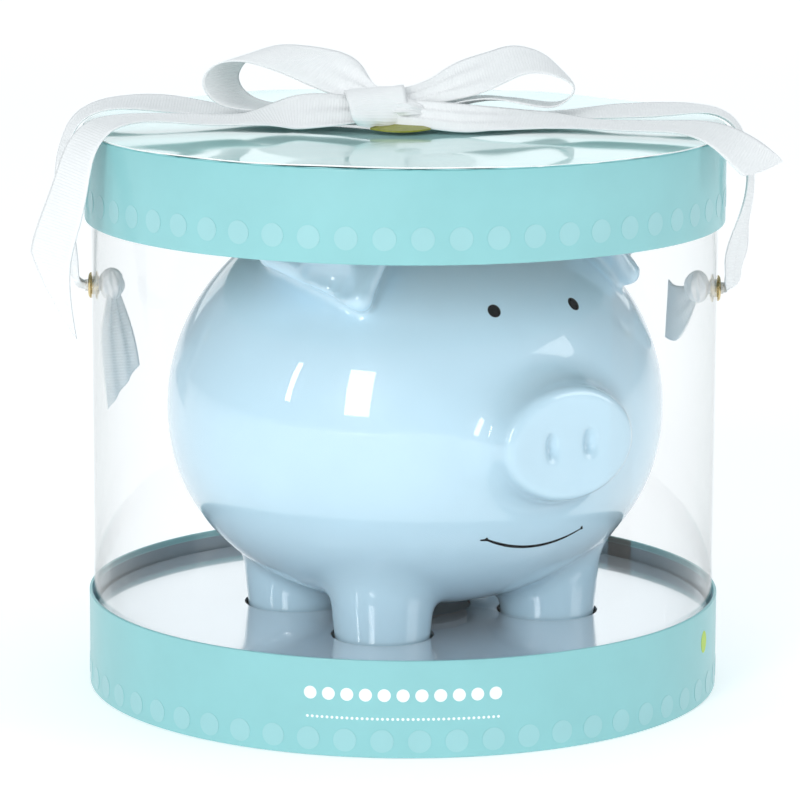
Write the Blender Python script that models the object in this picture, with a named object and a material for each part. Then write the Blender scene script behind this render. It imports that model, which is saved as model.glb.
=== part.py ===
"""A hollow ceramic piggy bank in its round gift drum, for Blender 4.5.

The pig has a coin slot in its back and a rubber stopper in its belly. It stands in a clear
sleeve with a paperboard base and a lift-off lid, and a ribbon handle tied in a bow.

Metres, +Z up. The origin is the centre of the drum's underside, and the pig faces -Y.
"""

import math

import bmesh
import bpy
from mathutils import Matrix, Vector

MM = 0.001
GAP = 0.3 * MM
SEGMENTS = 72

# Drum: a clear sleeve between a base and a lid, turned about Z from the pig's own facing.
DRUM_TURN = math.radians(-33)
SLEEVE_RADIUS = 95 * MM
SLEEVE_WALL = 0.6 * MM
BOARD = 1.2 * MM
BASE_RADIUS = SLEEVE_RADIUS + GAP + BOARD
BASE_HEIGHT = 28.8 * MM
BASE_FLOOR = 2 * MM
PLATFORM_TOP = 23 * MM
PLATFORM_CARD = 1 * MM
PLATFORM_RADIUS = SLEEVE_RADIUS - SLEEVE_WALL - 2 * GAP
LID_WALL = 1.5 * MM
LID_RADIUS = SLEEVE_RADIUS + 0.5 * MM + LID_WALL
LID_BOTTOM = 143.3 * MM
LID_SHEET = 0.8 * MM
LID_TOP = 171.6 * MM
LID_BAND_TOP = LID_TOP - LID_SHEET - GAP
SLEEVE_TOP = LID_BAND_TOP - BOARD - GAP

# Eyelets: a flanged brass tube through the sleeve on each side, clinched on a washer.
EYELET_HEIGHT = 121.6 * MM
EYELET_BORE = 2.3 * MM
EYELET_BARREL = 2.8 * MM
EYELET_FLANGE = 4.0 * MM
EYELET_SEAT = SLEEVE_RADIUS + GAP
EYELET_LENGTH = 2.3 * MM
WASHER_RADIUS = 4.2 * MM
WASHER_FACE = 1.35 * MM
WASHER_THICKNESS = 0.5 * MM

# Ribbon: one width throughout, gathered where it is tied or threaded.
RIBBON_WIDTH = 19 * MM
RIBBON_THICKNESS = 0.8 * MM
MOST_GATHER = 2.75
SAMPLES = 3
STEM_RADIUS = 1.9 * MM
STEM_END = 96.5 * MM
BOW_CENTRE = Vector((-1, -13, 176.6)) * MM

# Pig: measured from the centre of its body.
PIG_CENTRE = Vector((2.5, -3, 86)) * MM
BODY_HALF_WIDTH = 76 * MM
BODY_FRONT = 74 * MM
BODY_REAR = 76 * MM
BODY_ABOVE = 66 * MM
BODY_BELOW = 60 * MM
BODY_FULLNESS = 2.2
WALL = 5.5 * MM
FLOOR_WALL = 7 * MM
SNOUT_FACE = 85.5 * MM
SNOUT_HEIGHT = 1 * MM
SNOUT_HALF_WIDTH = 22.5 * MM
SNOUT_SQUASH = 0.745
SNOUT_FLARE = 1.13
NOSTRIL_SPACING = 13.2 * MM
NOSTRIL = Vector((2.6, 4, 7.2)) * MM
FOOT_SPREAD = Vector((30, 25)) * MM
FOOT_SHIFT = -3 * MM
FOOT_BOTTOM_RADIUS = 12.4 * MM
FOOT_TOP_RADIUS = 17 * MM
FOOT_TOP = 50 * MM
FOOT_HOLE = 15.5 * MM
EAR_LOBE = 3 * MM
EAR_POINTS = ((24, -18, 57), (47, 4, 47), (62, -22, 57), (39, -41, 56), (52.7, -47, 41))
TAIL_START = Vector((0, 71, 14)) * MM
TAIL_TURNS = 1.3
TAIL_CURL = 5.5 * MM
TAIL_PITCH = 9 * MM
TAIL_RADIUS = 2.6 * MM
SLOT = Vector((5, 38, 24)) * MM
SLOT_SHIFT = 4 * MM
STOPPER_BORE = 13 * MM
STOPPER_RECESS = 17 * MM
STOPPER_SEAT = 28.5 * MM
STOPPER_FLANGE = 16.2 * MM
STOPPER_PLUG = 12.6 * MM
STOPPER_TOP = 40 * MM
STOPPER_LOW = 26.2 * MM

# Ribbon routes on the drum, in millimetres with the eyelets on X. Each stop is a centre,
# then the turn and the lean of the ribbon's back edge in degrees, then its width left.
STRAP_RIGHT = (
    (97.0, 0, 121.6, 0, 0, 0.17), (99.2, 0, 122.6, 5, 0, 0.38), (100.9, 0, 126, 15, 0, 0.6),
    (101.8, 0, 131.5, 20, 0, 0.8), (102.6, 0, 139, 18, -4, 0.9), (104, 0, 148, 14, -8, 0.92),
    (104.4, 0, 159, 11, -8, 0.92), (102.2, 1.5, 167.2, 8, -2, 0.9), (99.4, 4, 172, 6, 0, 0.9),
    (94, 6.5, 174.9, 6, 1, 0.92), (86.5, 7.5, 175.6, 5, 4, 0.97), (76, 7.5, 175.2, 2, 6, 1),
    (62, 7, 174.6, 0, 5, 1), (48, 6, 173.5, 0, 2, 1), (34, 3, 173.1, 0, 1, 1),
    (20, -1, 173, 0, 1, 0.8), (6.2, -5.5, 173.3, 0, 0, 0.35),
)
STRAP_LEFT = (
    (-97.0, 0, 121.6, 0, 0, 0.17), (-99.2, 0, 122.6, -5, 0, 0.38), (-100.6, 0, 126, -10, 0, 0.6),
    (-101.2, 0, 132, -12, 0, 0.8), (-102.4, 0.5, 141, -10, -4, 0.9), (-104.2, 1, 150, -12, -6, 0.95),
    (-104.4, 2, 158, -12, -5, 0.95), (-103, 3.5, 165, -10, -2, 0.95), (-99.8, 6, 171.4, -8, 0, 0.95),
    (-94.5, 8, 174.8, -5, 2, 0.97), (-86.5, 9, 176.4, 0, 5, 1), (-76, 9, 176.4, 0, 8, 1),
    (-62, 8, 175, 0, 6, 1), (-50, 6, 173.6, 0, 2, 1), (-36, 3, 173.1, 0, 1, 1),
    (-21, -1, 173, 0, 1, 0.8), (-8.2, -5.5, 173.3, 0, 0, 0.35),
)
LOOP_LEFT = (
    (-8.5, -5.5, 181, 5, 30, 0.4), (-15, -2, 184, 22, 33, 0.8), (-25, 1, 188.2, 36, 25, 1),
    (-36, 2, 191.4, 42, 15, 1), (-46, 2, 192.2, 38, 9, 1), (-53, 1.5, 189.4, 34, 3, 1),
    (-55.8, 1, 184.8, 32, 0, 1), (-53.5, 1, 179.8, 32, 0, 1), (-46, 1, 176.6, 30, 0, 1),
    (-34, 0, 176, 22, 0, 1), (-20, -2.5, 176, 12, 0, 0.8), (-8.5, -6.5, 176.2, 5, 5, 0.35),
)
LOOP_RIGHT = (
    (6.5, -5.5, 181.2, 0, 30, 0.4), (13, -2, 183.6, -8, 30, 0.75), (20, 1, 185.8, -10, 28, 0.95),
    (27, 2, 188.2, -8, 26, 1), (34.5, 3, 190.6, -8, 20, 1), (41.5, 3, 189.6, 0, 12, 1),
    (47.5, 3, 186.2, 0, 2, 1), (51, 3, 181.8, 3, -4, 1), (48.5, 2.5, 178.4, 6, -3, 1),
    (41, 1.5, 177.4, 4, -2, 1), (33, 1.5, 178.6, 3, -3, 1), (25, 1.5, 179.2, 0, -3, 0.95),
    (16, -1, 178.2, 0, 0, 0.7), (6.5, -6, 176.4, 0, 5, 0.35),
)
TAIL_LEFT = (
    (-8.2, -16, 176.8, 0, 28, 0.45), (-15, -16.5, 177.4, 0, 29, 0.75), (-24, -16.5, 177.4, 3, 28, 0.95),
    (-33, -17, 176.8, -3, 24, 1), (-42, -18, 175.4, -14, 8, 1), (-50, -19, 174.8, -2, 3, 1),
    (-64, -23, 175.4, -4, 2, 1), (-77, -27, 176.2, -10, 0, 1), (-84, -31.2, 176, -18, 1, 1),
    (-89.6, -35.4, 174.6, -24, 2, 1), (-94.2, -39, 170, -28, 3, 1), (-97.8, -42, 159, -34, 5, 1),
    (-101, -43, 148, -40, 5, 1), (-103.8, -43.5, 138, -42, 5, 1), (-104, -44, 126, -42, 3, 1),
    (-102.4, -44.5, 114, -42, 0, 1),
)
TAIL_RIGHT = (
    (6.2, -16.5, 175.8, 10, 25, 0.45), (16, -17, 175.4, -6, 22, 0.8), (25, -17, 175.2, 2, 14, 0.94),
    (33, -17.5, 175, 8, 11, 1), (43, -18.5, 174.9, 8, 7, 1), (54, -22, 174.4, 5, 2, 1),
    (67, -26, 174.3, 9, 2, 1), (78, -29.5, 174.6, 12, 3, 1), (86.5, -34, 174.4, 16, 7, 1),
    (93, -37, 172.4, 20, 12, 1), (98.5, -39, 168.8, 22, 20, 1), (104, -41, 164.8, 20, 28, 1),
    (110.5, -43, 159.4, 18, 34, 1),
)
END_LEFT = (
    (-89, 0, 120, 10, 10, 0.4), (-88.6, -0.8, 115, 20, 8, 0.6), (-87.4, -1.5, 105, 35, -3, 0.8),
    (-86.2, -1.5, 95, 35, -6, 0.9), (-85, -1.5, 84, 35, -6, 0.9),
)
END_RIGHT = (
    (89, 0, 121, 0, 60, 0.4), (86, 0.5, 116.5, 0, 55, 0.5), (82.5, 3.5, 112.5, 0, 62, 0.65),
    (79.5, 10, 110.5, 0, 66, 0.75), (77.5, 17, 110, 0, 68, 0.8),
)
TAIL_CUT = 23 * MM
TAIL_CUT_RIGHT = 17 * MM
END_CUT = 13 * MM
KNOT_END = Vector((89.2, 0, 122)) * MM
KNOT_END_RADII = Vector((3.5, 4.6, 4.8)) * MM
BOW_KNOT_RADII = Vector((6.5, 6.5, 3.5)) * MM
TIE_RADII = (7.6, 4.3)
TIE_WIDTH = 0.27 * RIBBON_WIDTH
TIE_PAD = ((-12, -19, 172.4, 0, 0, 0.27), (-1, -18.5, 172.5, 0, 0, 0.27), (10, -19.5, 172.4, 0, 0, 0.27))


def clear_scene():
    for old in list(bpy.data.objects):
        bpy.data.objects.remove(old)


def finish(name, colour, roughness, metallic=0.0, alpha=1.0):
    """A Principled material of one colour."""
    material = bpy.data.materials.new(name)
    material.use_nodes = True
    shader = material.node_tree.nodes["Principled BSDF"]
    shader.inputs["Base Color"].default_value = (*colour, 1)
    shader.inputs["Roughness"].default_value = roughness
    shader.inputs["Metallic"].default_value = metallic
    shader.inputs["Alpha"].default_value = alpha
    return material


def make_finishes():
    return {
        "glaze": finish("pale_blue_glaze", (0.50, 0.66, 0.76), 0.08),
        "mint": finish("mint_paperboard", (0.36, 0.75, 0.75), 0.45),
        "gloss_mint": finish("glossy_mint_paper", (0.58, 0.83, 0.81), 0.12),
        "white_card": finish("white_card", (0.90, 0.92, 0.93), 0.3),
        "board": finish("grey_board", (0.72, 0.71, 0.66), 0.8),
        "clear": finish("clear_plastic", (0.95, 0.98, 0.98), 0.05, alpha=0.15),
        "ribbon": finish("white_grosgrain", (0.88, 0.89, 0.91), 0.8),
        "olive": finish("olive_tie", (0.40, 0.42, 0.04), 0.4),
        "brass": finish("brass", (0.60, 0.48, 0.22), 0.3, metallic=1.0),
        "rubber": finish("white_rubber", (0.80, 0.81, 0.82), 0.5),
    }


def empty(name, location=(0, 0, 0), turn=0.0, parent=None):
    """A frame that pieces hang from, such as a joint's."""
    frame = bpy.data.objects.new(name, None)
    frame.location = location
    frame.rotation_euler = (0, 0, turn)
    frame.parent = parent
    bpy.context.scene.collection.objects.link(frame)
    return frame


def piece(name, bm, material, parent):
    """The bmesh as a named object with its material, smooth except at sharp edges."""
    bmesh.ops.recalc_face_normals(bm, faces=bm.faces)
    mesh = bpy.data.meshes.new(name)
    bm.to_mesh(mesh)
    bm.free()
    mesh.shade_smooth()
    mesh.set_sharp_from_angle(angle=math.radians(35))
    if material:
        mesh.materials.append(material)
    made = bpy.data.objects.new(name, mesh)
    made.parent = parent
    bpy.context.scene.collection.objects.link(made)
    return made


def helper(name, bm, parent):
    """A shape that only cuts or joins another."""
    made = piece(name, bm, None, parent)
    made.hide_render = True
    made.display_type = "WIRE"
    return made


def combine(target, operation, *tools):
    for tool in tools:
        modifier = target.modifiers.new(tool.name, "BOOLEAN")
        modifier.operation = operation
        modifier.object = tool
        modifier.solver = "EXACT"


def turned(outline):
    """A ring turned about Z from a closed outline of (radius, height) points."""
    bm = bmesh.new()
    corners = [bm.verts.new((radius, 0, height)) for radius, height in outline]
    edges = [bm.edges.new(pair) for pair in zip(corners, corners[1:] + corners[:1])]
    bmesh.ops.spin(
        bm, geom=corners + edges, cent=(0, 0, 0), axis=(0, 0, 1), angle=math.tau, steps=SEGMENTS, use_merge=True
    )
    bmesh.ops.remove_doubles(bm, verts=bm.verts, dist=GAP / 100)
    return bm


def tube_wall(outer, inner, low, high):
    return turned([(outer, low), (outer, high), (inner, high), (inner, low)])


def round_bar(low_radius, high_radius, low, high, at=(0, 0), segments=SEGMENTS):
    """An upright disc, plug or cone."""
    bm = bmesh.new()
    place = Matrix.Translation((at[0], at[1], (low + high) / 2))
    bmesh.ops.create_cone(
        bm, cap_ends=True, segments=segments, radius1=low_radius, radius2=high_radius, depth=high - low, matrix=place
    )
    return bm


def block(size, centre):
    bm = bmesh.new()
    bmesh.ops.create_cube(bm, size=1, matrix=Matrix.Translation(centre) @ Matrix.Diagonal((*size, 1)))
    return bm


def ball(radii, centre, across=20, up=12):
    bm = bmesh.new()
    place = Matrix.Translation(centre) @ Matrix.Diagonal((*radii, 1))
    bmesh.ops.create_uvsphere(bm, u_segments=across, v_segments=up, radius=1, matrix=place)
    return bm


def smooth_route(stops, samples=SAMPLES):
    """Catmull-Rom samples of equal-length tuples, through every stop."""
    padded = [stops[0], *stops, stops[-1]]
    route = []
    for before, start, end, after in zip(padded, padded[1:], padded[2:], padded[3:]):
        for step in range(samples):
            t = step / samples
            weights = (
                -0.5 * t + t * t - 0.5 * t**3, 1 - 2.5 * t * t + 1.5 * t**3,
                0.5 * t + 2 * t * t - 1.5 * t**3, -0.5 * t * t + 0.5 * t**3,
            )
            four = (before, start, end, after)
            route.append(tuple(sum(w * s[i] for w, s in zip(weights, four)) for i in range(len(start))))
    route.append(tuple(stops[-1]))
    return route


def sweep(rings, closed=False):
    """A skin over rings of equal count, capped at its ends unless it closes on itself."""
    bm = bmesh.new()
    rows = [[bm.verts.new(point) for point in ring] for ring in rings]
    pairs = list(zip(rows, rows[1:]))
    if closed:
        pairs.append((rows[-1], rows[0]))
    for row, following in pairs:
        for i in range(len(row)):
            j = (i + 1) % len(row)
            bm.faces.new((row[i], row[j], following[j], following[i]))
    if not closed:
        bm.faces.new(rows[0])
        bm.faces.new(rows[-1])
    return bm


def along(points, i, closed=False):
    """The direction of travel at a point of a route."""
    if closed:
        return (points[(i + 1) % len(points)] - points[i - 1]).normalized()
    return (points[min(i + 1, len(points) - 1)] - points[max(i - 1, 0)]).normalized()


def strip(stops, end_cut=0.0, most_gather=MOST_GATHER):
    """A flat ribbon along its stops, with its last end_cut tapering to a slanted tip."""
    route = smooth_route(stops)
    centres = [Vector(stop[:3]) * MM for stop in route]
    left = [0.0]
    for start, end in zip(centres[::-1], centres[-2::-1]):
        left.append(left[-1] + (start - end).length)
    left.reverse()
    rings = []
    for i, (centre, stop) in enumerate(zip(centres, route)):
        turn, lean, kept = math.radians(stop[3]), math.radians(stop[4]), stop[5]
        across = Vector((math.sin(turn) * math.cos(lean), math.cos(turn) * math.cos(lean), math.sin(lean)))
        through = along(centres, i).cross(across).normalized()
        half = RIBBON_WIDTH * kept / 2
        thick = RIBBON_THICKNESS * min(1 / kept, most_gather) / 2
        uncut = 1.0 if not end_cut else max(min(1.0, left[i] / end_cut), 0.04)
        front, back = -half, -half + 2 * half * uncut
        rings.append([centre + across * a + through * t for a, t in
                      ((front, -thick), (back, -thick), (back, thick), (front, thick))])
    return sweep(rings)


def make_sleeve(finishes, drum):
    inner = SLEEVE_RADIUS - SLEEVE_WALL
    sleeve = piece(
        "clear_sleeve", tube_wall(SLEEVE_RADIUS, inner, BASE_FLOOR + GAP, SLEEVE_TOP), finishes["clear"], drum
    )
    for side, sign in (("left", -1), ("right", 1)):
        hole = helper(f"eyelet_hole_{side}", round_bar(EYELET_BARREL + GAP, EYELET_BARREL + GAP, -0.01, 0.01,
                                                       segments=24), drum)
        hole.location = (sign * SLEEVE_RADIUS, 0, EYELET_HEIGHT)
        hole.rotation_euler = (0, math.radians(90), 0)
        combine(sleeve, "DIFFERENCE", hole)


def make_base(finishes, drum):
    piece("base_band", tube_wall(BASE_RADIUS, BASE_RADIUS - BOARD, 0, BASE_HEIGHT), finishes["mint"], drum)
    piece("base_disc", round_bar(SLEEVE_RADIUS, SLEEVE_RADIUS, 0, BASE_FLOOR), finishes["board"], drum)


def make_platform(finishes, drum, pig):
    """A card tray turned upside down, with holes for the feet and for the belly stopper."""
    under = PLATFORM_TOP - PLATFORM_CARD
    skirt = PLATFORM_RADIUS - PLATFORM_CARD
    platform = piece(
        "platform_card", round_bar(PLATFORM_RADIUS, PLATFORM_RADIUS, BASE_FLOOR + GAP, PLATFORM_TOP),
        finishes["white_card"], drum,
    )
    combine(platform, "DIFFERENCE", helper("platform_hollow", round_bar(skirt, skirt, -0.01, under), drum))
    for i, (x, y) in enumerate(foot_places()):
        bar = round_bar(FOOT_HOLE, FOOT_HOLE, 0.01, 0.04, (x, y), 32)
        bmesh.ops.translate(bar, verts=bar.verts, vec=(0, 0, -PIG_CENTRE.z))
        combine(platform, "DIFFERENCE", helper(f"foot_hole_{i + 1}", bar, pig))
    wide = STOPPER_RECESS + GAP
    bar = round_bar(wide, wide, 0.01, 0.04, segments=32)
    bmesh.ops.translate(bar, verts=bar.verts, vec=(0, 0, -PIG_CENTRE.z))
    combine(platform, "DIFFERENCE", helper("stopper_way", bar, pig))


def make_lid(finishes, lid):
    piece("lid_band", tube_wall(LID_RADIUS, LID_RADIUS - LID_WALL, LID_BOTTOM, LID_BAND_TOP), finishes["mint"], lid)
    board = LID_RADIUS - LID_WALL - GAP
    piece("lid_board", round_bar(board, board, LID_BAND_TOP - BOARD, LID_BAND_TOP), finishes["board"], lid)
    sheet = LID_RADIUS + 0.5 * MM
    piece("lid_top_sheet", round_bar(sheet, sheet, LID_TOP - LID_SHEET, LID_TOP), finishes["gloss_mint"], lid)


def make_eyelets(finishes, drum):
    rim = 0.8 * MM
    eyelet = [
        (EYELET_BORE, -EYELET_LENGTH), (EYELET_BARREL, -EYELET_LENGTH), (EYELET_BARREL, 0), (EYELET_FLANGE, 0),
        (EYELET_FLANGE, rim / 3), (EYELET_FLANGE - rim, rim), (EYELET_BARREL, rim), (EYELET_BORE, rim / 2),
    ]
    hole = EYELET_BARREL + GAP
    washer_back = -WASHER_FACE - WASHER_THICKNESS
    washer = [(WASHER_RADIUS, washer_back), (WASHER_RADIUS, -WASHER_FACE), (hole, -WASHER_FACE), (hole, washer_back)]
    for side, sign in (("left", -1), ("right", 1)):
        for name, outline in (("eyelet", eyelet), ("eyelet_washer", washer)):
            made = piece(f"{name}_{side}", ring_of(outline, 28), finishes["brass"], drum)
            made.location = (sign * EYELET_SEAT, 0, EYELET_HEIGHT)
            made.rotation_euler = (0, sign * math.radians(90), 0)


def ring_of(outline, sides):
    """A small turned ring with its own number of sides."""
    rings = []
    for side in range(sides):
        angle = math.tau * side / sides
        rings.append([Vector((r * math.cos(angle), r * math.sin(angle), z)) for r, z in outline])
    return sweep(rings, closed=True)


def make_ribbon_ends(finishes, drum):
    """What is inside the sleeve: the threaded stem, its knot and the cut end that hangs from it."""
    for side, sign, stops in (("left", -1, END_LEFT), ("right", 1, END_RIGHT)):
        end = piece(f"ribbon_end_{side}", strip(stops, END_CUT if side == "left" else 0.0), finishes["ribbon"], drum)
        knot = ball(KNOT_END_RADII, (sign * KNOT_END.x, KNOT_END.y, KNOT_END.z), 14, 9)
        stem = round_bar(STEM_RADIUS, STEM_RADIUS, 0, STEM_END - KNOT_END.x, segments=12)
        turn = Matrix.Rotation(sign * math.radians(90), 4, "Y")
        bmesh.ops.transform(stem, verts=stem.verts, matrix=Matrix.Translation(
            (sign * KNOT_END.x, 0, EYELET_HEIGHT)) @ turn)
        combine(end, "UNION", helper(f"end_knot_{side}", knot, drum), helper(f"end_stem_{side}", stem, drum))


def make_bow(finishes, lid):
    white = finishes["ribbon"]
    piece("strap_left", strip(STRAP_LEFT), white, lid)
    piece("strap_right", strip(STRAP_RIGHT), white, lid)
    piece("bow_loop_left", strip(LOOP_LEFT), white, lid)
    piece("bow_loop_right", strip(LOOP_RIGHT), white, lid)
    piece("bow_tail_left", strip(TAIL_LEFT, TAIL_CUT), white, lid)
    piece("bow_tail_right", strip(TAIL_RIGHT, TAIL_CUT_RIGHT), white, lid)
    piece("bow_knot", ball(BOW_KNOT_RADII, BOW_CENTRE, 18, 10), white, lid)
    make_tie(finishes["olive"], lid)


def make_tie(olive, lid):
    """The band round the bow's knot, with its two ends flat on the lid."""
    sides = 28
    half_wide = TIE_WIDTH / 2
    half_thick = RIBBON_THICKNESS / 2
    rings = []
    for side in range(sides):
        angle = math.tau * side / sides
        out = Vector((0, math.cos(angle), math.sin(angle)))
        at = BOW_CENTRE + Vector((0, TIE_RADII[0] * out.y, TIE_RADII[1] * out.z)) * MM
        rings.append([at + Vector((x, 0, 0)) + out * t for x, t in
                      ((-half_wide, -half_thick), (half_wide, -half_thick),
                       (half_wide, half_thick), (-half_wide, half_thick))])
    tie = piece("bow_tie", sweep(rings, closed=True), olive, lid)
    combine(tie, "UNION", helper("tie_pad", strip(TIE_PAD, most_gather=1), lid))


def body_shape(grow=0.0, floor=0.0, across=40, up=22):
    """The pig's body, or its hollow when grow is negative, as a sphere pulled to its four depths."""
    bm = bmesh.new()
    bmesh.ops.create_uvsphere(bm, u_segments=across, v_segments=up, radius=1)
    for corner in bm.verts:
        way = corner.co.normalized()
        depth = (BODY_REAR if way.y > 0 else BODY_FRONT) + grow
        height = BODY_ABOVE + grow if way.z > 0 else BODY_BELOW + grow + floor
        fullness = 2.0 if way.z > 0 else BODY_FULLNESS
        flat = math.hypot(way.x / (BODY_HALF_WIDTH + grow), way.y / depth)
        corner.co = way / (flat**fullness + abs(way.z / height) ** fullness) ** (1 / fullness)
    return bm


def snout_shape():
    bm = bmesh.new()
    start = BODY_FRONT - 14 * MM
    length = SNOUT_FACE - start
    wide = SNOUT_HALF_WIDTH
    bmesh.ops.create_cone(bm, cap_ends=True, segments=40, radius1=wide * SNOUT_FLARE, radius2=wide, depth=length)
    rim = [edge for edge in bm.edges if all(corner.co.z > 0 for corner in edge.verts)]
    bmesh.ops.bevel(bm, geom=rim, offset=2.5 * MM, segments=2, profile=0.5, affect="EDGES")
    squash = Matrix.Diagonal((1, SNOUT_SQUASH, 1, 1))
    forward = Matrix.Rotation(math.radians(90), 4, "X")
    place = Matrix.Translation((0, -start - length / 2, SNOUT_HEIGHT))
    bmesh.ops.transform(bm, verts=bm.verts, matrix=place @ forward @ squash)
    return bm


def foot_places():
    """Each foot's centre in plan, from the pig's centre."""
    return [
        (side * FOOT_SPREAD.x, end * FOOT_SPREAD.y + FOOT_SHIFT) for end in (-1, 1) for side in (-1, 1)
    ]


def foot_shape(at):
    low = BASE_FLOOR + GAP - PIG_CENTRE.z
    bm = round_bar(FOOT_BOTTOM_RADIUS, FOOT_TOP_RADIUS, low, FOOT_TOP - PIG_CENTRE.z, at, 24)
    sole = [edge for edge in bm.edges if all(corner.co.z < low + GAP for corner in edge.verts)]
    bmesh.ops.bevel(bm, geom=sole, offset=1.5 * MM, segments=1, affect="EDGES")
    return bm


def ear_shape(side):
    """A thick leaf: the hull of a small ball at each corner of the ear."""
    bm = bmesh.new()
    for x, y, z in EAR_POINTS:
        place = Matrix.Translation(Vector((side * x, y, z)) * MM)
        bmesh.ops.create_icosphere(bm, subdivisions=1, radius=EAR_LOBE, matrix=place)
    bmesh.ops.delete(bm, geom=list(bm.edges), context="EDGES_FACES")
    bmesh.ops.convex_hull(bm, input=bm.verts)
    bmesh.ops.delete(bm, geom=[corner for corner in bm.verts if not corner.link_faces], context="VERTS")
    return bm


def tail_shape():
    """A tapering tube that curls once about the line that the tail points along."""
    steps, sides = 26, 8
    centres = []
    for step in range(steps + 1):
        t = step / steps * TAIL_TURNS
        swing = math.tau * t
        curl = Vector((TAIL_CURL * math.sin(swing), TAIL_PITCH * t, TAIL_CURL * (1 - math.cos(swing))))
        centres.append(TAIL_START + curl)
    rings = []
    for i, centre in enumerate(centres):
        way = along(centres, i)
        across = way.cross(Vector((0, 1, 0.2))).normalized()
        through = way.cross(across)
        radius = TAIL_RADIUS * (1 - 0.35 * i / steps)
        angles = [math.tau * side / sides for side in range(sides)]
        rings.append([centre + (across * math.cos(a) + through * math.sin(a)) * radius for a in angles])
    return sweep(rings)


def make_pig(finishes, pig):
    body = piece("pig_body", body_shape(), finishes["glaze"], pig)
    combine(body, "UNION", helper("snout", snout_shape(), pig))
    for i, at in enumerate(foot_places()):
        combine(body, "UNION", helper(f"foot_{i + 1}", foot_shape(at), pig))
    combine(body, "UNION", helper("ear_left", ear_shape(1), pig), helper("ear_right", ear_shape(-1), pig))
    combine(body, "UNION", helper("curly_tail", tail_shape(), pig))
    hollow = body_shape(-WALL, WALL - FLOOR_WALL, 28, 16)
    combine(body, "DIFFERENCE", helper("hollow", hollow, pig))
    slot = block(SLOT, (0, SLOT_SHIFT, BODY_ABOVE))
    bore = round_bar(STOPPER_BORE, STOPPER_BORE, -0.07, -0.04, segments=32)
    seat = round_bar(STOPPER_RECESS, STOPPER_RECESS, -0.07, STOPPER_SEAT - PIG_CENTRE.z, segments=32)
    combine(body, "DIFFERENCE", helper("coin_slot", slot, pig), helper("stopper_bore", bore, pig),
            helper("stopper_seat", seat, pig))
    for side in (-1, 1):
        at = (side * NOSTRIL_SPACING / 2, -SNOUT_FACE, SNOUT_HEIGHT)
        combine(body, "DIFFERENCE", helper(f"nostril_{side + 2}", block(NOSTRIL, at), pig))


def make_stopper(finishes, stopper):
    """A soft plug whose flange fills the belly recess, hollow below for a fingertip."""
    flange_top = STOPPER_SEAT - GAP
    plug = piece("belly_stopper", round_bar(STOPPER_FLANGE, STOPPER_FLANGE, STOPPER_LOW, flange_top, segments=32),
                 finishes["rubber"], stopper)
    neck = round_bar(STOPPER_PLUG, STOPPER_PLUG - 1.2 * MM, flange_top - MM, STOPPER_TOP, segments=32)
    combine(plug, "UNION", helper("stopper_plug", neck, stopper))
    cup = STOPPER_PLUG - 3 * MM
    hollow = round_bar(cup, cup - 1.5 * MM, STOPPER_LOW - MM, STOPPER_TOP - 2.5 * MM, segments=32)
    combine(plug, "DIFFERENCE", helper("stopper_cup", hollow, stopper))


def main():
    clear_scene()
    finishes = make_finishes()
    drum = empty("drum_frame", turn=DRUM_TURN)
    lid = empty("lid_frame", turn=DRUM_TURN)
    pig = empty("pig_frame", PIG_CENTRE)
    stopper = empty("stopper_frame", (PIG_CENTRE.x, PIG_CENTRE.y, 0))
    make_base(finishes, drum)
    make_platform(finishes, drum, pig)
    make_sleeve(finishes, drum)
    make_eyelets(finishes, drum)
    make_ribbon_ends(finishes, drum)
    make_lid(finishes, lid)
    make_bow(finishes, lid)
    make_pig(finishes, pig)
    make_stopper(finishes, stopper)


main()
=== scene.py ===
"""The looks of a glazed piggy bank in its clear gift drum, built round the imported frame.

Laid out as a Blender add-on and run as a script. Sizes are in metres and +Z is up. The pig
faces -Y, and the drum with its ribbon is turned about Z from the pig.
"""

import math

import bmesh
import bpy
import numpy as np
from bpy.props import FloatProperty, FloatVectorProperty, IntProperty, PointerProperty
from mathutils import Matrix, Vector


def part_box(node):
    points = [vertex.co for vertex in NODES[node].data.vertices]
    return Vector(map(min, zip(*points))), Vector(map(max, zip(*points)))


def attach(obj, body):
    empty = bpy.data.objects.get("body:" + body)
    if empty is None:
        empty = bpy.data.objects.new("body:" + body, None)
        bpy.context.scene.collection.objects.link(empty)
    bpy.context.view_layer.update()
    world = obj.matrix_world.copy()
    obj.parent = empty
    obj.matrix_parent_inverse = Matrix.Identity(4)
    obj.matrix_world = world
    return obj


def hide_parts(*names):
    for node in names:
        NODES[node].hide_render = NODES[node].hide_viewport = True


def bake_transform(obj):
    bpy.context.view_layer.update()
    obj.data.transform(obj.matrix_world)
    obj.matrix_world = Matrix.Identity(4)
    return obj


bl_info = {
    "name": "Boxed Piggy Bank",
    "version": (1, 0, 0),
    "blender": (4, 5, 0),
    "location": "3D View > Sidebar > Piggy Bank",
    "description": "Builds a glazed piggy bank and its ribboned gift drum round the packed frame",
    "category": "Add Mesh",
}

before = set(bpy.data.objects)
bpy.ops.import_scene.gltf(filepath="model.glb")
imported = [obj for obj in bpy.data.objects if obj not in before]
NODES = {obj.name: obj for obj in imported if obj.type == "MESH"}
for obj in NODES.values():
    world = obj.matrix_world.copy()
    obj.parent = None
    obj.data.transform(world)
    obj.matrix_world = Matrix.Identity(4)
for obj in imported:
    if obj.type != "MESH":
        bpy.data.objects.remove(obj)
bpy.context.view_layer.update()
MM = 0.001

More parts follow.
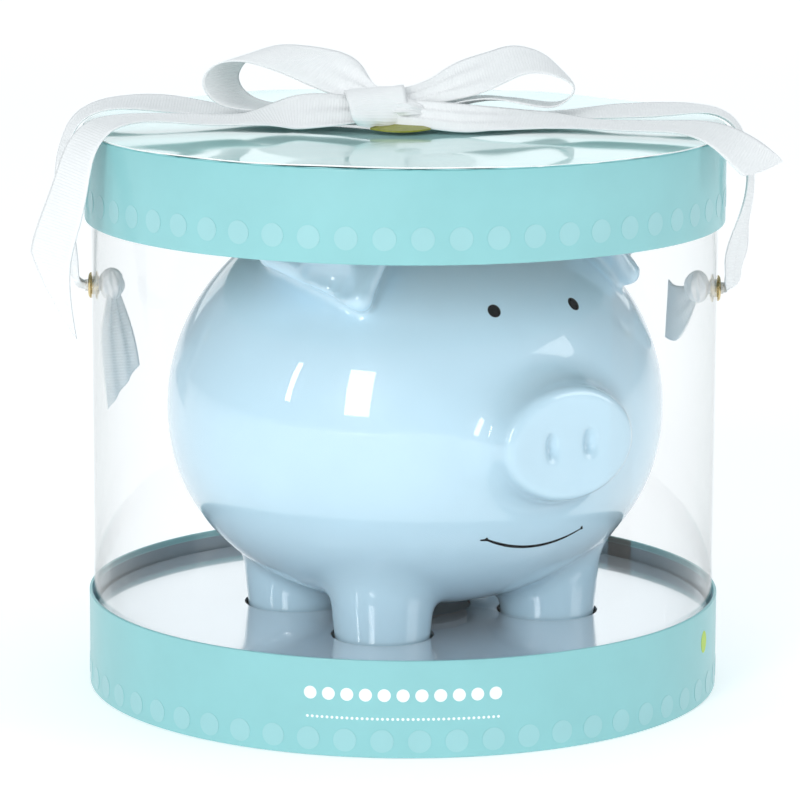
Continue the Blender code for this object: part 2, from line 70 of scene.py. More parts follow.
# The drum's own axes: eyelets on X, turned about Z from the pig.
DRUM_TURN = math.radians(-33)
DRUM = Matrix.Rotation(DRUM_TURN, 4, "Z")
PIG_CENTRE = Vector((2.5, -3, 86)) * MM
SLEEVE_RADIUS = 95 * MM
BASE_RADIUS = 96.5 * MM
LID_RADIUS = 97 * MM
EYELET_SEAT = 95.3 * MM
EYELET_HEIGHT = 121.6 * MM
ROUND_STEPS = 288

# Ribbon routes in millimetres on the drum's axes. Each stop is a centre, then the turn and
# the lean of the ribbon's back edge in degrees, then the share of its width that is left.
STRAP_RIGHT = (
    (97.0, 0, 121.6, 0, 0, 0.17), (99, 0, 122.4, 20, 0, 0.55), (100, 0, 126, 26, 0, 0.8),
    (100.7, 0, 131.5, 28, 0, 0.92), (101.9, 0, 139, 22, -4, 0.94), (104, 0, 148, 14, -8, 0.92),
    (104.4, 0, 159, 11, -8, 0.92), (102.2, 1.5, 167.2, 8, -2, 0.9), (99.4, 4, 172, 6, 0, 0.9),
    (94, 6.5, 174.9, 6, 1, 0.92), (86.5, 7.5, 175.6, 5, 4, 0.97), (76, 7.5, 175.2, 2, 6, 1),
    (62, 7, 174.6, 0, 5, 1), (48, 6, 173.5, 0, 2, 1), (34, 3, 173.1, 0, 1, 1),
    (20, -1, 173, 0, 1, 0.8), (6.2, -6.5, 173.3, 0, 0, 0.6), (-2, -9, 173.3, 0, 0, 0.6),
)
STRAP_LEFT = (
    (-97.0, 0, 121.6, 0, 0, 0.17), (-99.2, 0, 122.6, -5, 0, 0.38), (-100.6, 0, 126, -10, 0, 0.6),
    (-101.2, 0, 132, -12, 0, 0.8), (-102.4, 0.5, 141, -10, -4, 0.9), (-104.2, 1, 150, -12, -6, 0.95),
    (-104.4, 2, 158, -12, -5, 0.95), (-103, 3.5, 165, -10, -2, 0.95), (-99.8, 6, 171.4, -8, 0, 0.95),
    (-94.5, 8, 174.8, -5, 2, 0.97), (-86.5, 9, 176.4, 0, 5, 1), (-76, 9, 176.4, 0, 8, 1),
    (-62, 8, 175, 0, 6, 1), (-50, 6, 173.6, 0, 2, 1), (-36, 3, 173.1, 0, 1, 1),
    (-21, -1, 173, 0, 1, 0.8), (-8.2, -6.5, 173.3, 0, 0, 0.6), (0, -9, 173.3, 0, 0, 0.6),
)
LOOP_LEFT = (
    (-2, -8, 178.6, 0, 20, 0.3),
    (-8.5, -5.5, 181, 5, 30, 0.4), (-15, -2, 184, 22, 33, 0.8), (-25, 1, 188.2, 36, 25, 1),
    (-36, 2, 191.4, 42, 15, 1), (-46, 2, 192.2, 38, 9, 1), (-53, 1.5, 189.4, 34, 3, 1),
    (-55.8, 1, 184.8, 32, 0, 1), (-53.5, 1, 179.8, 32, 0, 1), (-46, 1, 176.6, 30, 0, 1),
    (-34, 0, 176, 22, 0, 1), (-20, -2.5, 176, 12, 0, 0.8), (-8.5, -6.5, 176.2, 5, 5, 0.35),
    (-2, -9, 176.4, 0, 5, 0.3),
)
LOOP_RIGHT = (
    (-3, -12, 178.6, 0, 34, 0.62), (2, -8.5, 180.2, 0, 34, 0.5),
    (7, -5.5, 181.6, 0, 32, 0.55), (13, -2, 183.6, -8, 30, 0.75), (20, 1, 185.8, -10, 28, 0.95),
    (27, 2, 188.2, -8, 26, 1), (34.5, 3, 190.6, -8, 20, 1), (41.5, 3, 189.6, 0, 12, 1),
    (47.5, 3, 186.2, 0, 2, 1), (51, 3, 181.8, 3, -4, 1), (48.5, 2.5, 178.4, 6, -3, 1),
    (41, 1.5, 177.4, 4, -2, 1), (33, 1.5, 178.6, 3, -3, 1), (25, 1.5, 179.2, 0, -3, 0.95),
    (16, -1, 178.2, 0, 0, 0.7), (6.5, -6, 176.4, 0, 5, 0.35), (0, -9, 176.2, 0, 5, 0.3),
)
TAIL_LEFT = (
    (-2, -15.5, 176.4, 0, 24, 0.35),
    (-8.2, -16, 176.8, 0, 28, 0.45), (-15, -16.5, 177.4, 0, 29, 0.75), (-24, -16.5, 177.4, 3, 28, 0.95),
    (-33, -17, 176.8, -3, 24, 1), (-42, -18, 175.4, -14, 8, 1), (-50, -19, 174.8, -2, 3, 1),
    (-64, -23, 175.4, -4, 2, 1), (-77, -27, 176.2, -10, 0, 1), (-84, -31.2, 176, -18, 1, 1),
    (-89.6, -35.4, 174.6, -24, 2, 1), (-94.2, -39, 170, -28, 3, 1), (-97.8, -42, 159, -34, 5, 1),
    (-101, -43, 148, -40, 5, 1), (-103.8, -43.5, 138, -42, 5, 1), (-104, -44, 126, -42, 3, 1),
    (-102.4, -44.5, 114, -42, 0, 1),
)
TAIL_RIGHT = (
    (-4, -16.2, 176.8, 6, 34, 0.5), (1, -16.8, 176.6, 8, 32, 0.55),
    (6.8, -16.8, 176.2, 8, 28, 0.62), (16, -17, 175.4, -6, 22, 0.8), (25, -17, 175.2, 2, 14, 0.94),
    (33, -17.5, 175, 8, 11, 1), (43, -18.5, 174.9, 8, 7, 1), (54, -22, 174.4, 5, 2, 1),
    (67, -26, 174.3, 9, 2, 1), (78, -29.5, 174.6, 12, 3, 1), (86.5, -34, 174.4, 16, 7, 1),
    (93, -37, 172.4, 20, 12, 1), (98.5, -39, 168.8, 22, 20, 1), (104, -41, 164.4, 20, 28, 1),
    (108.6, -42.6, 160, 18, 34, 1),
)
END_LEFT = (
    (-89, 0, 120, 10, 10, 0.4), (-88.6, -0.8, 115, 20, 8, 0.6), (-87.4, -1.5, 105, 35, -3, 0.8),
    (-86.2, -1.5, 95, 35, -6, 0.9), (-85, -1.5, 84, 35, -6, 0.9),
)
END_RIGHT = (
    (89, 0, 121, 0, 60, 0.45), (87, 0.8, 117, 0, 56, 0.65), (84.6, 3.2, 114, 0, 60, 0.85),
    (82.6, 8, 112.6, 0, 64, 0.95), (81, 13.5, 113, 8, 60, 1),
)
WRAP = (
    (-9.5, -4.5, 179.6, 76, 0, 0.9), (-9.8, -8, 182.6, 74, 2, 0.95), (-9.4, -13, 183.4, 70, 3, 1),
    (-8.6, -18, 181.4, 66, 1, 1), (-7.8, -21, 178, 64, -2, 1), (-7.2, -22.2, 174.9, 64, -4, 0.95),
    (-7, -21.2, 173.2, 64, -4, 0.85),
)
BOW_CENTRE = Vector((-1, -13, 176.6)) * MM


# ---------------------------------------------------------------- sizes and colours


class DrumSettings(bpy.types.PropertyGroup):
    """Sizes of the drum's prints and papers."""

    dots: IntProperty(name="Dots", description="Printed dots round each band", default=56, min=3)
    dot_radius: FloatProperty(
        name="Dot radius", description="Radius of one printed dot", default=3.4 * MM, unit="LENGTH"
    )
    lid_dot_height: FloatProperty(
        name="Lid dot height", description="Height of the lid's row of dots", default=150.8 * MM, unit="LENGTH"
    )
    base_dot_height: FloatProperty(
        name="Base dot height", description="Height of the base's row of dots", default=5.0 * MM, unit="LENGTH"
    )
    ink: FloatProperty(
        name="Ink", description="How far a print stands off its paper", default=0.06 * MM, unit="LENGTH"
    )
    seam_turn: FloatProperty(
        name="Sleeve seam", description="Where the sleeve laps, from the drum's front",
        default=math.radians(39), subtype="ANGLE",
    )
    tabs: IntProperty(name="Tabs", description="Paper tabs folded over the lid's rim", default=34, min=3)
    paper_wave: FloatProperty(
        name="Paper wave", description="How much the lid's top paper lifts", default=0.22 * MM, unit="LENGTH"
    )


class RibbonSettings(bpy.types.PropertyGroup):
    """Sizes of the grosgrain ribbon."""

    width: FloatProperty(name="Width", description="Width of the ribbon", default=19 * MM, unit="LENGTH")
    rib: FloatProperty(name="Rib", description="Distance between two ribs", default=0.9 * MM, unit="LENGTH")
    thickness: FloatProperty(
        name="Thickness", description="Thickness at the ribs", default=0.56 * MM, unit="LENGTH"
    )
    groove: FloatProperty(
        name="Groove", description="Depth of the groove between ribs", default=0.10 * MM, unit="LENGTH"
    )
    pleats: FloatProperty(name="Pleats", description="Folds across a gathered end", default=2.5, min=0)


class PigSettings(bpy.types.PropertyGroup):
    """Sizes of the pig, from the centre of its body."""

    cell: FloatProperty(
        name="Cell", description="Spacing of the grid that the pig is meshed on", default=1.45 * MM,
        unit="LENGTH",
    )
    wall: FloatProperty(name="Wall", description="Thickness of the shell", default=5.5 * MM, unit="LENGTH")
    snout_rim: FloatProperty(
        name="Snout rim", description="Rounding round the snout's face", default=3.2 * MM, unit="LENGTH"
    )
    eye: FloatProperty(name="Eye", description="Radius of a painted eye", default=2.2 * MM, unit="LENGTH")
    line: FloatProperty(
        name="Line", description="Width of the painted smile", default=1.35 * MM, unit="LENGTH"
    )


def colour_property(name, description, default):
    return FloatVectorProperty(name=name, description=description, subtype="COLOR", size=3, min=0, max=1,
                               default=default)


class ColourSettings(bpy.types.PropertyGroup):
    """Main colours, in linear light."""

    glaze: colour_property("Glaze", "The pig's pale blue glaze", (0.52, 0.73, 0.85))
    mint: colour_property("Mint", "The printed paper of the bands", (0.255, 0.56, 0.575))
    dot: colour_property("Dot", "The dots printed on the bands", (0.31, 0.59, 0.61))
    lid_paper: colour_property("Lid paper", "The glossy paper on the lid", (0.42, 0.78, 0.76))
    ribbon: colour_property("Ribbon", "The white grosgrain ribbon", (0.87, 0.88, 0.88))
    tie: colour_property("Tie", "The olive tie round the bow", (0.24, 0.25, 0.015))
    brass: colour_property("Brass", "The eyelets", (0.70, 0.55, 0.28))


def settings(group):
    return getattr(bpy.context.scene, group)


# ---------------------------------------------------------------- node helpers


def add_node(tree, kind, **values):
    made = tree.nodes.new(kind)
    for key, value in values.items():
        setattr(made, key, value)
    return made


def maths(tree, operation, first, second=None):
    """A Math node whose inputs are sockets or numbers."""
    made = add_node(tree, "ShaderNodeMath", operation=operation)
    for socket, value in zip(made.inputs, (first, second)):
        if isinstance(value, bpy.types.NodeSocket):
            tree.links.new(value, socket)
        elif value is not None:
            socket.default_value = value
    return made.outputs[0]


def new_group(name, kind, inputs, outputs):
    """An empty node group with typed, named sockets: {name: (type, default)}."""
    tree = bpy.data.node_groups.new(name, kind)
    for label, (socket_type, default) in inputs.items():
        made = tree.interface.new_socket(label, in_out="INPUT", socket_type=socket_type)
        if default is not None:
            made.default_value = default
    for label, socket_type in outputs.items():
        tree.interface.new_socket(label, in_out="OUTPUT", socket_type=socket_type)
    return tree, tree.nodes.new("NodeGroupInput"), tree.nodes.new("NodeGroupOutput")


def grain_group():
    """Cloudy variation and a fine height, for paper, board, glaze, rubber and metal."""
    found = bpy.data.node_groups.get("surface_grain")
    if found:
        return found
    tree, source, sink = new_group(
        "surface_grain", "ShaderNodeTree",
        {"Cloud Scale": ("NodeSocketFloat", 40.0), "Grain Scale": ("NodeSocketFloat", 2000.0),
         "Stretch": ("NodeSocketVector", (1, 1, 1))},
        {"Cloud": "NodeSocketFloat", "Grain": "NodeSocketFloat"},
    )
    place = add_node(tree, "ShaderNodeTexCoord")
    stretched = add_node(tree, "ShaderNodeMapping")
    tree.links.new(place.outputs["Object"], stretched.inputs["Vector"])
    tree.links.new(source.outputs["Stretch"], stretched.inputs["Scale"])
    for label, scale, detail in (("Cloud", "Cloud Scale", 3.0), ("Grain", "Grain Scale", 5.0)):
        noise = add_node(tree, "ShaderNodeTexNoise")
        noise.inputs["Detail"].default_value = detail
        noise.inputs["Roughness"].default_value = 0.6
        tree.links.new(stretched.outputs["Vector"], noise.inputs["Vector"])
        tree.links.new(source.outputs[scale], noise.inputs["Scale"])
        tree.links.new(noise.outputs["Fac"], sink.inputs[label])
    return tree


def tone_group():
    """Two tones of one colour mixed by a mask."""
    found = bpy.data.node_groups.get("two_tones")
    if found:
        return found
    tree, source, sink = new_group(
        "two_tones", "ShaderNodeTree",
        {"Mask": ("NodeSocketFloat", 0.5), "Low": ("NodeSocketColor", None), "High": ("NodeSocketColor", None),
         "Contrast": ("NodeSocketFloat", 1.0)},
        {"Colour": "NodeSocketColor"},
    )
    centred = maths(tree, "SUBTRACT", source.outputs["Mask"], 0.5)
    scaled = maths(tree, "MULTIPLY", centred, source.outputs["Contrast"])
    factor = maths(tree, "ADD", scaled, 0.5)
    mix = add_node(tree, "ShaderNodeMix", data_type="RGBA")
    tree.links.new(factor, mix.inputs["Factor"])
    tree.links.new(source.outputs["Low"], mix.inputs[6])
    tree.links.new(source.outputs["High"], mix.inputs[7])
    tree.links.new(mix.outputs[2], sink.inputs["Colour"])
    return tree


def place_group(tree, group, **values):
    made = add_node(tree, "ShaderNodeGroup", node_tree=group)
    for label, value in values.items():
        made.inputs[label.replace("_", " ")].default_value = value
    return made


def shaded(colour, factor):
    return tuple(min(1.0, part * factor) for part in colour)


class Finish:
    """One Principled material, with shared grain for its tone, roughness and height."""

    def __init__(self, name, **sockets):
        self.material = bpy.data.materials.new(name)
        self.material.use_nodes = True
        self.tree = self.material.node_tree
        self.shader = self.tree.nodes["Principled BSDF"]
        for label, value in sockets.items():
            self.shader.inputs[label.replace("_", " ")].default_value = value

    def link(self, output, label):
        self.tree.links.new(output, self.shader.inputs[label])

    def grain(self, cloud=40.0, grain=2000.0, stretch=(1, 1, 1)):
        return place_group(self.tree, grain_group(), Cloud_Scale=cloud, Grain_Scale=grain, Stretch=stretch)

    def tones(self, mask, colour, spread, contrast=2.0):
        """The base colour moves by spread either way with the mask."""
        low, high = ((*shaded(colour, 1 + way * spread), 1) for way in (-1, 1))
        made = place_group(self.tree, tone_group(), Low=low, High=high, Contrast=contrast)
        self.tree.links.new(mask, made.inputs["Mask"])
        self.link(made.outputs["Colour"], "Base Color")

    def roughness(self, mask, low, high):
        """Roughness runs from low to high with the mask."""
        spread = maths(self.tree, "MULTIPLY", mask, high - low)
        self.link(maths(self.tree, "ADD", spread, low), "Roughness")

    def bump(self, height, distance, strength):
        made = add_node(self.tree, "ShaderNodeBump")
        made.inputs["Strength"].default_value = strength
        made.inputs["Distance"].default_value = distance
        self.tree.links.new(height, made.inputs["Height"])
        self.link(made.outputs["Normal"], "Normal")


# ---------------------------------------------------------------- finishes


def glaze_finish():
    """Thick glossy glaze over pale blue stoneware, with faint pooling and pinprick specks."""
    colour = settings("piggy_colours").glaze
    finish = Finish("pale_blue_glaze", Coat_Weight=1.0, Coat_Roughness=0.025, Coat_IOR=1.6)
    grain = finish.grain(cloud=28, grain=900)
    finish.tones(grain.outputs["Cloud"], colour, 0.035)
    finish.roughness(grain.outputs["Grain"], 0.30, 0.42)
    finish.bump(grain.outputs["Cloud"], 0.10 * MM, 0.35)
    return finish.material


def enamel_finish():
    finish = Finish("black_enamel", Coat_Weight=0.05, Coat_Roughness=0.1, Specular_IOR_Level=0.1)
    grain = finish.grain(cloud=300, grain=6000)
    finish.tones(grain.outputs["Cloud"], (0.003, 0.003, 0.004), 0.3)
    finish.roughness(grain.outputs["Grain"], 0.5, 0.6)
    return finish.material


def paper_finish(name, colour, gloss):
    """Satin printed paper with a fine tooth and faint mottling."""
    finish = Finish(name, Coat_Weight=gloss, Coat_Roughness=0.16)
    grain = finish.grain(cloud=60, grain=2600)
    finish.tones(grain.outputs["Cloud"], colour, 0.03)
    finish.roughness(grain.outputs["Grain"], 0.42, 0.58)
    finish.bump(grain.outputs["Grain"], 0.02 * MM, 0.5)
    return finish.material


def lid_paper_finish():
    """High-gloss laminated paper whose slow waves break up what it mirrors."""
    colour = settings("piggy_colours").lid_paper
    finish = Finish("glossy_mint_paper", Coat_Weight=1.0, Coat_Roughness=0.05, Coat_IOR=1.6)
    grain = finish.grain(cloud=17, grain=1500, stretch=(0.7, 1.5, 1))
    finish.tones(grain.outputs["Cloud"], colour, 0.05)
    finish.roughness(grain.outputs["Grain"], 0.3, 0.4)
    finish.bump(grain.outputs["Cloud"], 3.0 * MM, 0.6)
    return finish.material


def board_finish(name, colour, roughness=(0.75, 0.9)):
    """Bare fibrous board, also used in a darker blue-grey as painted shade on the base band's inner face."""
    finish = Finish(name)
    grain = finish.grain(cloud=180, grain=3500, stretch=(1, 2.5, 1))
    finish.tones(grain.outputs["Grain"], colour, 0.12)
    finish.roughness(grain.outputs["Cloud"], *roughness)
    finish.bump(grain.outputs["Grain"], 0.08 * MM, 0.6)
    return finish.material


def pearl_card_finish():
    """White pearlescent card that mirrors what stands on it."""
    finish = Finish("white_pearl_card", Metallic=0.5, Coat_Weight=1.0, Coat_Roughness=0.03, Coat_IOR=1.7)
    grain = finish.grain(cloud=45, grain=2500)
    finish.tones(grain.outputs["Cloud"], (0.70, 0.73, 0.77), 0.02)
    finish.roughness(grain.outputs["Grain"], 0.13, 0.20)
    finish.bump(grain.outputs["Cloud"], 0.25 * MM, 0.25)
    return finish.material


def film_finish():
    """Clear stiff film: it mostly lets light through, and mirrors more at a glance."""
    finish = Finish("clear_film", Base_Color=(0.74, 0.76, 0.75, 1), Metallic=1.0)
    grain = finish.grain(cloud=35, grain=1800)
    finish.roughness(grain.outputs["Grain"], 0.02, 0.06)
    finish.bump(grain.outputs["Cloud"], 0.4 * MM, 0.3)
    glance = add_node(finish.tree, "ShaderNodeLayerWeight")
    glance.inputs["Blend"].default_value = 0.5
    steep = maths(finish.tree, "POWER", glance.outputs["Facing"], 4.0)
    mirror = maths(finish.tree, "ADD", maths(finish.tree, "MULTIPLY", steep, 0.62), 0.012)
    finish.link(mirror, "Alpha")
    return finish.material


def grosgrain_finish():
    """White ribbon: the ribs are in the mesh, and fine lengthwise threads cross them."""
    colour = settings("piggy_colours").ribbon
    finish = Finish("white_grosgrain", Sheen_Weight=0.25, Sheen_Roughness=0.4)
    tree = finish.tree
    place = add_node(tree, "ShaderNodeUVMap", uv_map="ribbon")
    split = add_node(tree, "ShaderNodeSeparateXYZ")
    tree.links.new(place.outputs["UV"], split.inputs[0])
    thread = maths(tree, "SINE", maths(tree, "MULTIPLY", split.outputs["X"], 2 * math.pi / (0.32 * MM)))
    grain = finish.grain(cloud=120, grain=5000)
    height = maths(tree, "ADD", maths(tree, "MULTIPLY", thread, 0.35), grain.outputs["Grain"])
    finish.tones(grain.outputs["Cloud"], colour, 0.02)
    finish.roughness(grain.outputs["Grain"], 0.62, 0.8)
    finish.bump(height, 0.03 * MM, 0.7)
    return finish.material


def tie_finish():
    """Olive paper tie, creased lengthwise."""
    colour = settings("piggy_colours").tie
    finish = Finish("olive_paper", Coat_Weight=0.4, Coat_Roughness=0.25)
    grain = finish.grain(cloud=260, grain=2400, stretch=(1, 6, 1))
    finish.tones(grain.outputs["Cloud"], colour, 0.25)
    finish.roughness(grain.outputs["Grain"], 0.35, 0.5)
    finish.bump(grain.outputs["Cloud"], 0.25 * MM, 0.8)
    return finish.material


def brass_finish():
    """Pressed brass, duller where the press and fingers touched it."""
    colour = settings("piggy_colours").brass
    finish = Finish("pressed_brass", Metallic=1.0)
    grain = finish.grain(cloud=500, grain=5000)
    finish.tones(grain.outputs["Cloud"], colour, 0.12)
    finish.roughness(grain.outputs["Cloud"], 0.16, 0.42)
    finish.bump(grain.outputs["Grain"], 0.02 * MM, 0.5)
    return finish.material


def rubber_finish():
    finish = Finish("white_rubber")
    grain = finish.grain(cloud=90, grain=3000)
    finish.tones(grain.outputs["Cloud"], (0.74, 0.75, 0.76), 0.04)
    finish.roughness(grain.outputs["Grain"], 0.5, 0.65)
    finish.bump(grain.outputs["Grain"], 0.03 * MM, 0.6)
    return finish.material


def floor_finish():
    finish = Finish("pale_floor", Roughness=0.9, Emission_Color=(1, 1, 1, 1), Emission_Strength=0.36)
    grain = finish.grain(cloud=2, grain=60)
    finish.tones(grain.outputs["Cloud"], (0.90, 0.90, 0.90), 0.004)
    return finish.material


FINISHES = {
    "glaze": glaze_finish,
    "enamel": enamel_finish,
    "mint": lambda: paper_finish("mint_paper", settings("piggy_colours").mint, 0.45),
    "dot": lambda: paper_finish("dot_print", settings("piggy_colours").dot, 0.45),
    "white_print": lambda: paper_finish("white_print", (0.86, 0.92, 0.93), 0.3),
    "lime_print": lambda: paper_finish("lime_print", (0.42, 0.62, 0.03), 0.3),
    "paper_edge": lambda: board_finish("paper_edge", (0.86, 0.88, 0.87)),
    "lid_paper": lid_paper_finish,
    # Painted shade: a darker blue-grey on the base band's inner face stands for the shade inside the drum.
    "band_inside_painted_shade": lambda: board_finish("band_inside_painted_shade", (0.30, 0.37, 0.42)),
    "greyboard": lambda: board_finish("greyboard", (0.62, 0.62, 0.58)),
    "pearl": pearl_card_finish,
    "film": film_finish,
    "ribbon": grosgrain_finish,
    "tie": tie_finish,
    "brass": brass_finish,
    "rubber": rubber_finish,
    "floor": floor_finish,
}
made_finishes = {}


def finish_named(name):
    if name not in made_finishes:
        made_finishes[name] = FINISHES[name]()
    return made_finishes[name]


# ---------------------------------------------------------------- mesh helpers


def mesh_piece(name, points, faces, finishes, body, replaces=(), turn=None, which=None):
    """A smooth-shaded piece, turned if asked. which gives each face's finish by number."""
    mesh = bpy.data.meshes.new(name)
    mesh.from_pydata([tuple(p) for p in points], [], [tuple(int(i) for i in f) for f in faces])
    if turn is not None:
        mesh.transform(turn)
    for finish in finishes:
        mesh.materials.append(finish_named(finish))
    mesh.shade_smooth()
    if which is not None:
        mesh.polygons.foreach_set("material_index", np.asarray(which, np.int32))
    mesh.update()
    return enter(bpy.data.objects.new(name, mesh), body, replaces)


def refinish(node, finish):
    """Gives a CAD node that stays as it is its own finish."""
    materials = NODES[node].data.materials
    materials.clear()
    materials.append(finish_named(finish))


def enter(made, body, replaces=()):
    """Puts a finished piece in the scene and on its CAD body."""
    if made.name not in bpy.context.scene.collection.objects:
        bpy.context.scene.collection.objects.link(made)
    if body:
        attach(made, body)
    if replaces:
        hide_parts(*replaces)
    return made


def soften(made, angle=35):
    """Sharp edges where faces meet at more than the angle."""
    made.data.set_sharp_from_angle(angle=math.radians(angle))
    return made


def grid_faces(rows, columns, wrap_rows=False, wrap_columns=False):
    """Quads over a grid of points numbered row by row."""
    row = np.arange(rows if wrap_rows else rows - 1)[:, None]
    column = np.arange(columns if wrap_columns else columns - 1)[None, :]
    next_row, next_column = (row + 1) % rows, (column + 1) % columns
    corners = [row * columns + column, row * columns + next_column,
               next_row * columns + next_column, next_row * columns + column]
    return np.stack(np.broadcast_arrays(*corners), -1).reshape(-1, 4)


def rounded(outline, radius, steps=4):
    """A closed outline with an arc of the radius at each corner."""
    count = len(outline)
    points = []
    for i, corner in enumerate(outline):
        here = np.array(corner, float)
        before = np.array(outline[i - 1], float) - here
        after = np.array(outline[(i + 1) % count], float) - here
        reach = min(radius, 0.45 * np.linalg.norm(before), 0.45 * np.linalg.norm(after))
        start = here + before / np.linalg.norm(before) * reach
        end = here + after / np.linalg.norm(after) * reach
        for step in range(steps + 1):
            t = step / steps
            points.append((1 - t) ** 2 * start + 2 * t * (1 - t) * here + t * t * end)
    return points


def turned(outline, steps=ROUND_STEPS, bulge=None):
    """Points and faces of a ring turned about Z from a closed, anticlockwise (radius, height) outline."""
    angles = np.arange(steps) * math.tau / steps
    flat = np.array(outline)
    radius = flat[None, :, 0] + (bulge(angles) if bulge else np.zeros(steps))[:, None]
    height = np.broadcast_to(flat[None, :, 1], radius.shape)
    points = np.stack([radius * np.cos(angles)[:, None], radius * np.sin(angles)[:, None], height], -1)
    return points.reshape(-1, 3), grid_faces(steps, len(flat), True, True)[:, ::-1]


def heights(node):
    """The lowest and highest level of a CAD node."""
    low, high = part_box(node)
    return low.z, high.z


# ---------------------------------------------------------------- ribbon


def spline(knots, values, at):
    """A natural cubic spline through the values at the knots, read at other places."""
    gaps = np.diff(knots)
    slopes = np.diff(values, axis=0) / gaps[:, None]
    system = np.eye(len(knots))
    right = np.zeros_like(values)
    for i in range(1, len(knots) - 1):
        system[i, i - 1 : i + 2] = gaps[i - 1], 2 * (gaps[i - 1] + gaps[i]), gaps[i]
        right[i] = 6 * (slopes[i] - slopes[i - 1])
    bend = np.linalg.solve(system, right)
    span = np.clip(np.searchsorted(knots, at, side="right") - 1, 0, len(gaps) - 1)
    gap = gaps[span][:, None]
    b = (at - knots[span])[:, None] / gap
    a = 1 - b
    cubic = (a**3 - a) * bend[span] + (b**3 - b) * bend[span + 1]
    return a * values[span] + b * values[span + 1] + cubic * gap**2 / 6


def unit(vectors):
    return vectors / np.linalg.norm(vectors, axis=-1, keepdims=True)


def ribbon_route(stops, step):
    """Evenly spaced centres, back-edge directions, normals, shares of width and distances."""
    stops = np.array(stops, float)
    stops[:, :3] *= MM
    knots = np.concatenate([[0], np.cumsum(np.linalg.norm(np.diff(stops[:, :3], axis=0), axis=1))])
    fine = spline(knots, stops, np.linspace(0, knots[-1], 60 * len(stops)))
    travelled = np.concatenate([[0], np.cumsum(np.linalg.norm(np.diff(fine[:, :3], axis=0), axis=1))])
    places = np.linspace(0, travelled[-1], max(int(travelled[-1] / step), 8) + 1)
    route = np.stack([np.interp(places, travelled, fine[:, i]) for i in range(6)], -1)
    turn, lean = np.radians(route[:, 3]), np.radians(route[:, 4])
    across = np.stack([np.sin(turn) * np.cos(lean), np.cos(turn) * np.cos(lean), np.sin(lean)], -1)
    along = unit(np.gradient(route[:, :3], axis=0))
    through = unit(np.cross(along, across))
    return route[:, :3], across, through, np.clip(route[:, 5], 0.12, 1.0), places


def ribbon_piece(name, stops, body, replaces, cut=0.0, gather=1.0, columns=16,
                 from_front=False):
    """A strip of grosgrain along its stops, ribbed in the mesh and pleated where it is gathered."""
    sizes = settings("piggy_ribbon")
    centre, across, through, kept, places = ribbon_route(stops, sizes.rib / 5)
    width, length = sizes.width, places[-1]
    u = np.linspace(0, 1, columns + 1)[None, :]
    uncut = np.ones_like(places) if not cut else np.clip((length - places) / cut, 0.03, 1)
    share = u * uncut[:, None]
    if from_front:
        share = 1 - share[:, ::-1]
    spread = (share - 0.5) * (width * kept)[:, None]
    deep = gather * 0.5 * width / (4 * max(sizes.pleats, 0.1)) * np.sqrt(1 - kept**2)
    fold = deep[:, None] * np.sin(math.tau * sizes.pleats * (share - 0.5))
    rib = sizes.groove * (0.5 - 0.5 * np.cos(math.tau * places / sizes.rib))
    edge = np.clip(np.minimum(u, 1 - u) * columns, 0, 1)
    half = (sizes.thickness / 2 - rib[:, None] * edge) * np.where(edge > 0, 1, 0.75)
    middle = centre[:, None] + across[:, None] * spread[..., None] + through[:, None] * fold[..., None]
    lift = through[:, None] * half[..., None]
    loops = np.concatenate([middle + lift, (middle - lift)[:, ::-1]], axis=1)
    rows, around = loops.shape[:2]
    faces = list(grid_faces(rows, around, wrap_columns=True))
    faces.append(tuple(range(around))[::-1])
    faces.append(tuple((rows - 1) * around + i for i in range(around)))
    made = mesh_piece(name, loops.reshape(-1, 3), faces, ["ribbon"], None, turn=DRUM)
    layer = made.data.uv_layers.new(name="ribbon")
    one_side = (share * width, np.broadcast_to(places[:, None], share.shape))
    table = np.stack([np.concatenate([part, part[:, ::-1]], axis=1) for part in one_side], -1).reshape(-1, 2)
    corners = np.empty(len(made.data.loops), np.int32)
    made.data.loops.foreach_get("vertex_index", corners)
    layer.data.foreach_set("uv", table[corners].astype(np.float32).ravel())
    face_out(made)
    enter(made, body, replaces)
    return made


def face_out(made):
    """Turns a closed mesh's faces outwards."""
    bm = bmesh.new()
    bm.from_mesh(made.data)
    bmesh.ops.recalc_face_normals(bm, faces=bm.faces)
    bm.to_mesh(made.data)
    bm.free()


def gathered_ball(name, centre, radii, folds, depth, body, replaces=(), axis="X"):
    """A knot: a ball of ribbon with folds that run from end to end of its axis."""
    rows, columns = 40, 96
    polar = np.linspace(0, math.pi, rows + 2)[1:-1, None]
    around = np.arange(columns)[None, :] * math.tau / columns
    swirl = 0.9 * (polar - math.pi / 2)
    fold = 1 + depth * np.sin(folds * around + swirl * 2) * np.sin(polar) ** 0.7
    fold = fold + 0.5 * depth * np.sin(int(2.3 * folds) * around - swirl * 3)
    x = np.cos(polar) * np.ones_like(around)
    y, z = np.sin(polar) * np.cos(around) * fold, np.sin(polar) * np.sin(around) * fold
    order = (0, 1, 2) if axis == "X" else (1, 2, 0)
    ball = np.concatenate([np.stack([x, y, z], -1).reshape(-1, 3), [(1, 0, 0), (-1, 0, 0)]])
    points = ball[:, order] * np.array(radii) + np.array(centre)
    faces = [tuple(f) for f in grid_faces(rows, columns, wrap_columns=True)]
    for i in range(columns):
        j = (i + 1) % columns
        faces.append((i, j, rows * columns))
        faces.append(((rows - 1) * columns + j, (rows - 1) * columns + i, rows * columns + 1))
    made = mesh_piece(name, points, faces, ["ribbon"], None, turn=DRUM)
    made.data.uv_layers.new(name="ribbon")
    face_out(made)
    return enter(made, body, replaces)


# ---------------------------------------------------------------- the pig's shape


def smooth_join(first, second, radius):
    """The nearer of two distances, rounded where they meet."""
    share = np.clip(0.5 + 0.5 * (second - first) / radius, 0, 1)
    return second * (1 - share) + first * share - radius * share * (1 - share)


def smooth_meet(first, second, radius):
    return -smooth_join(-first, -second, radius)


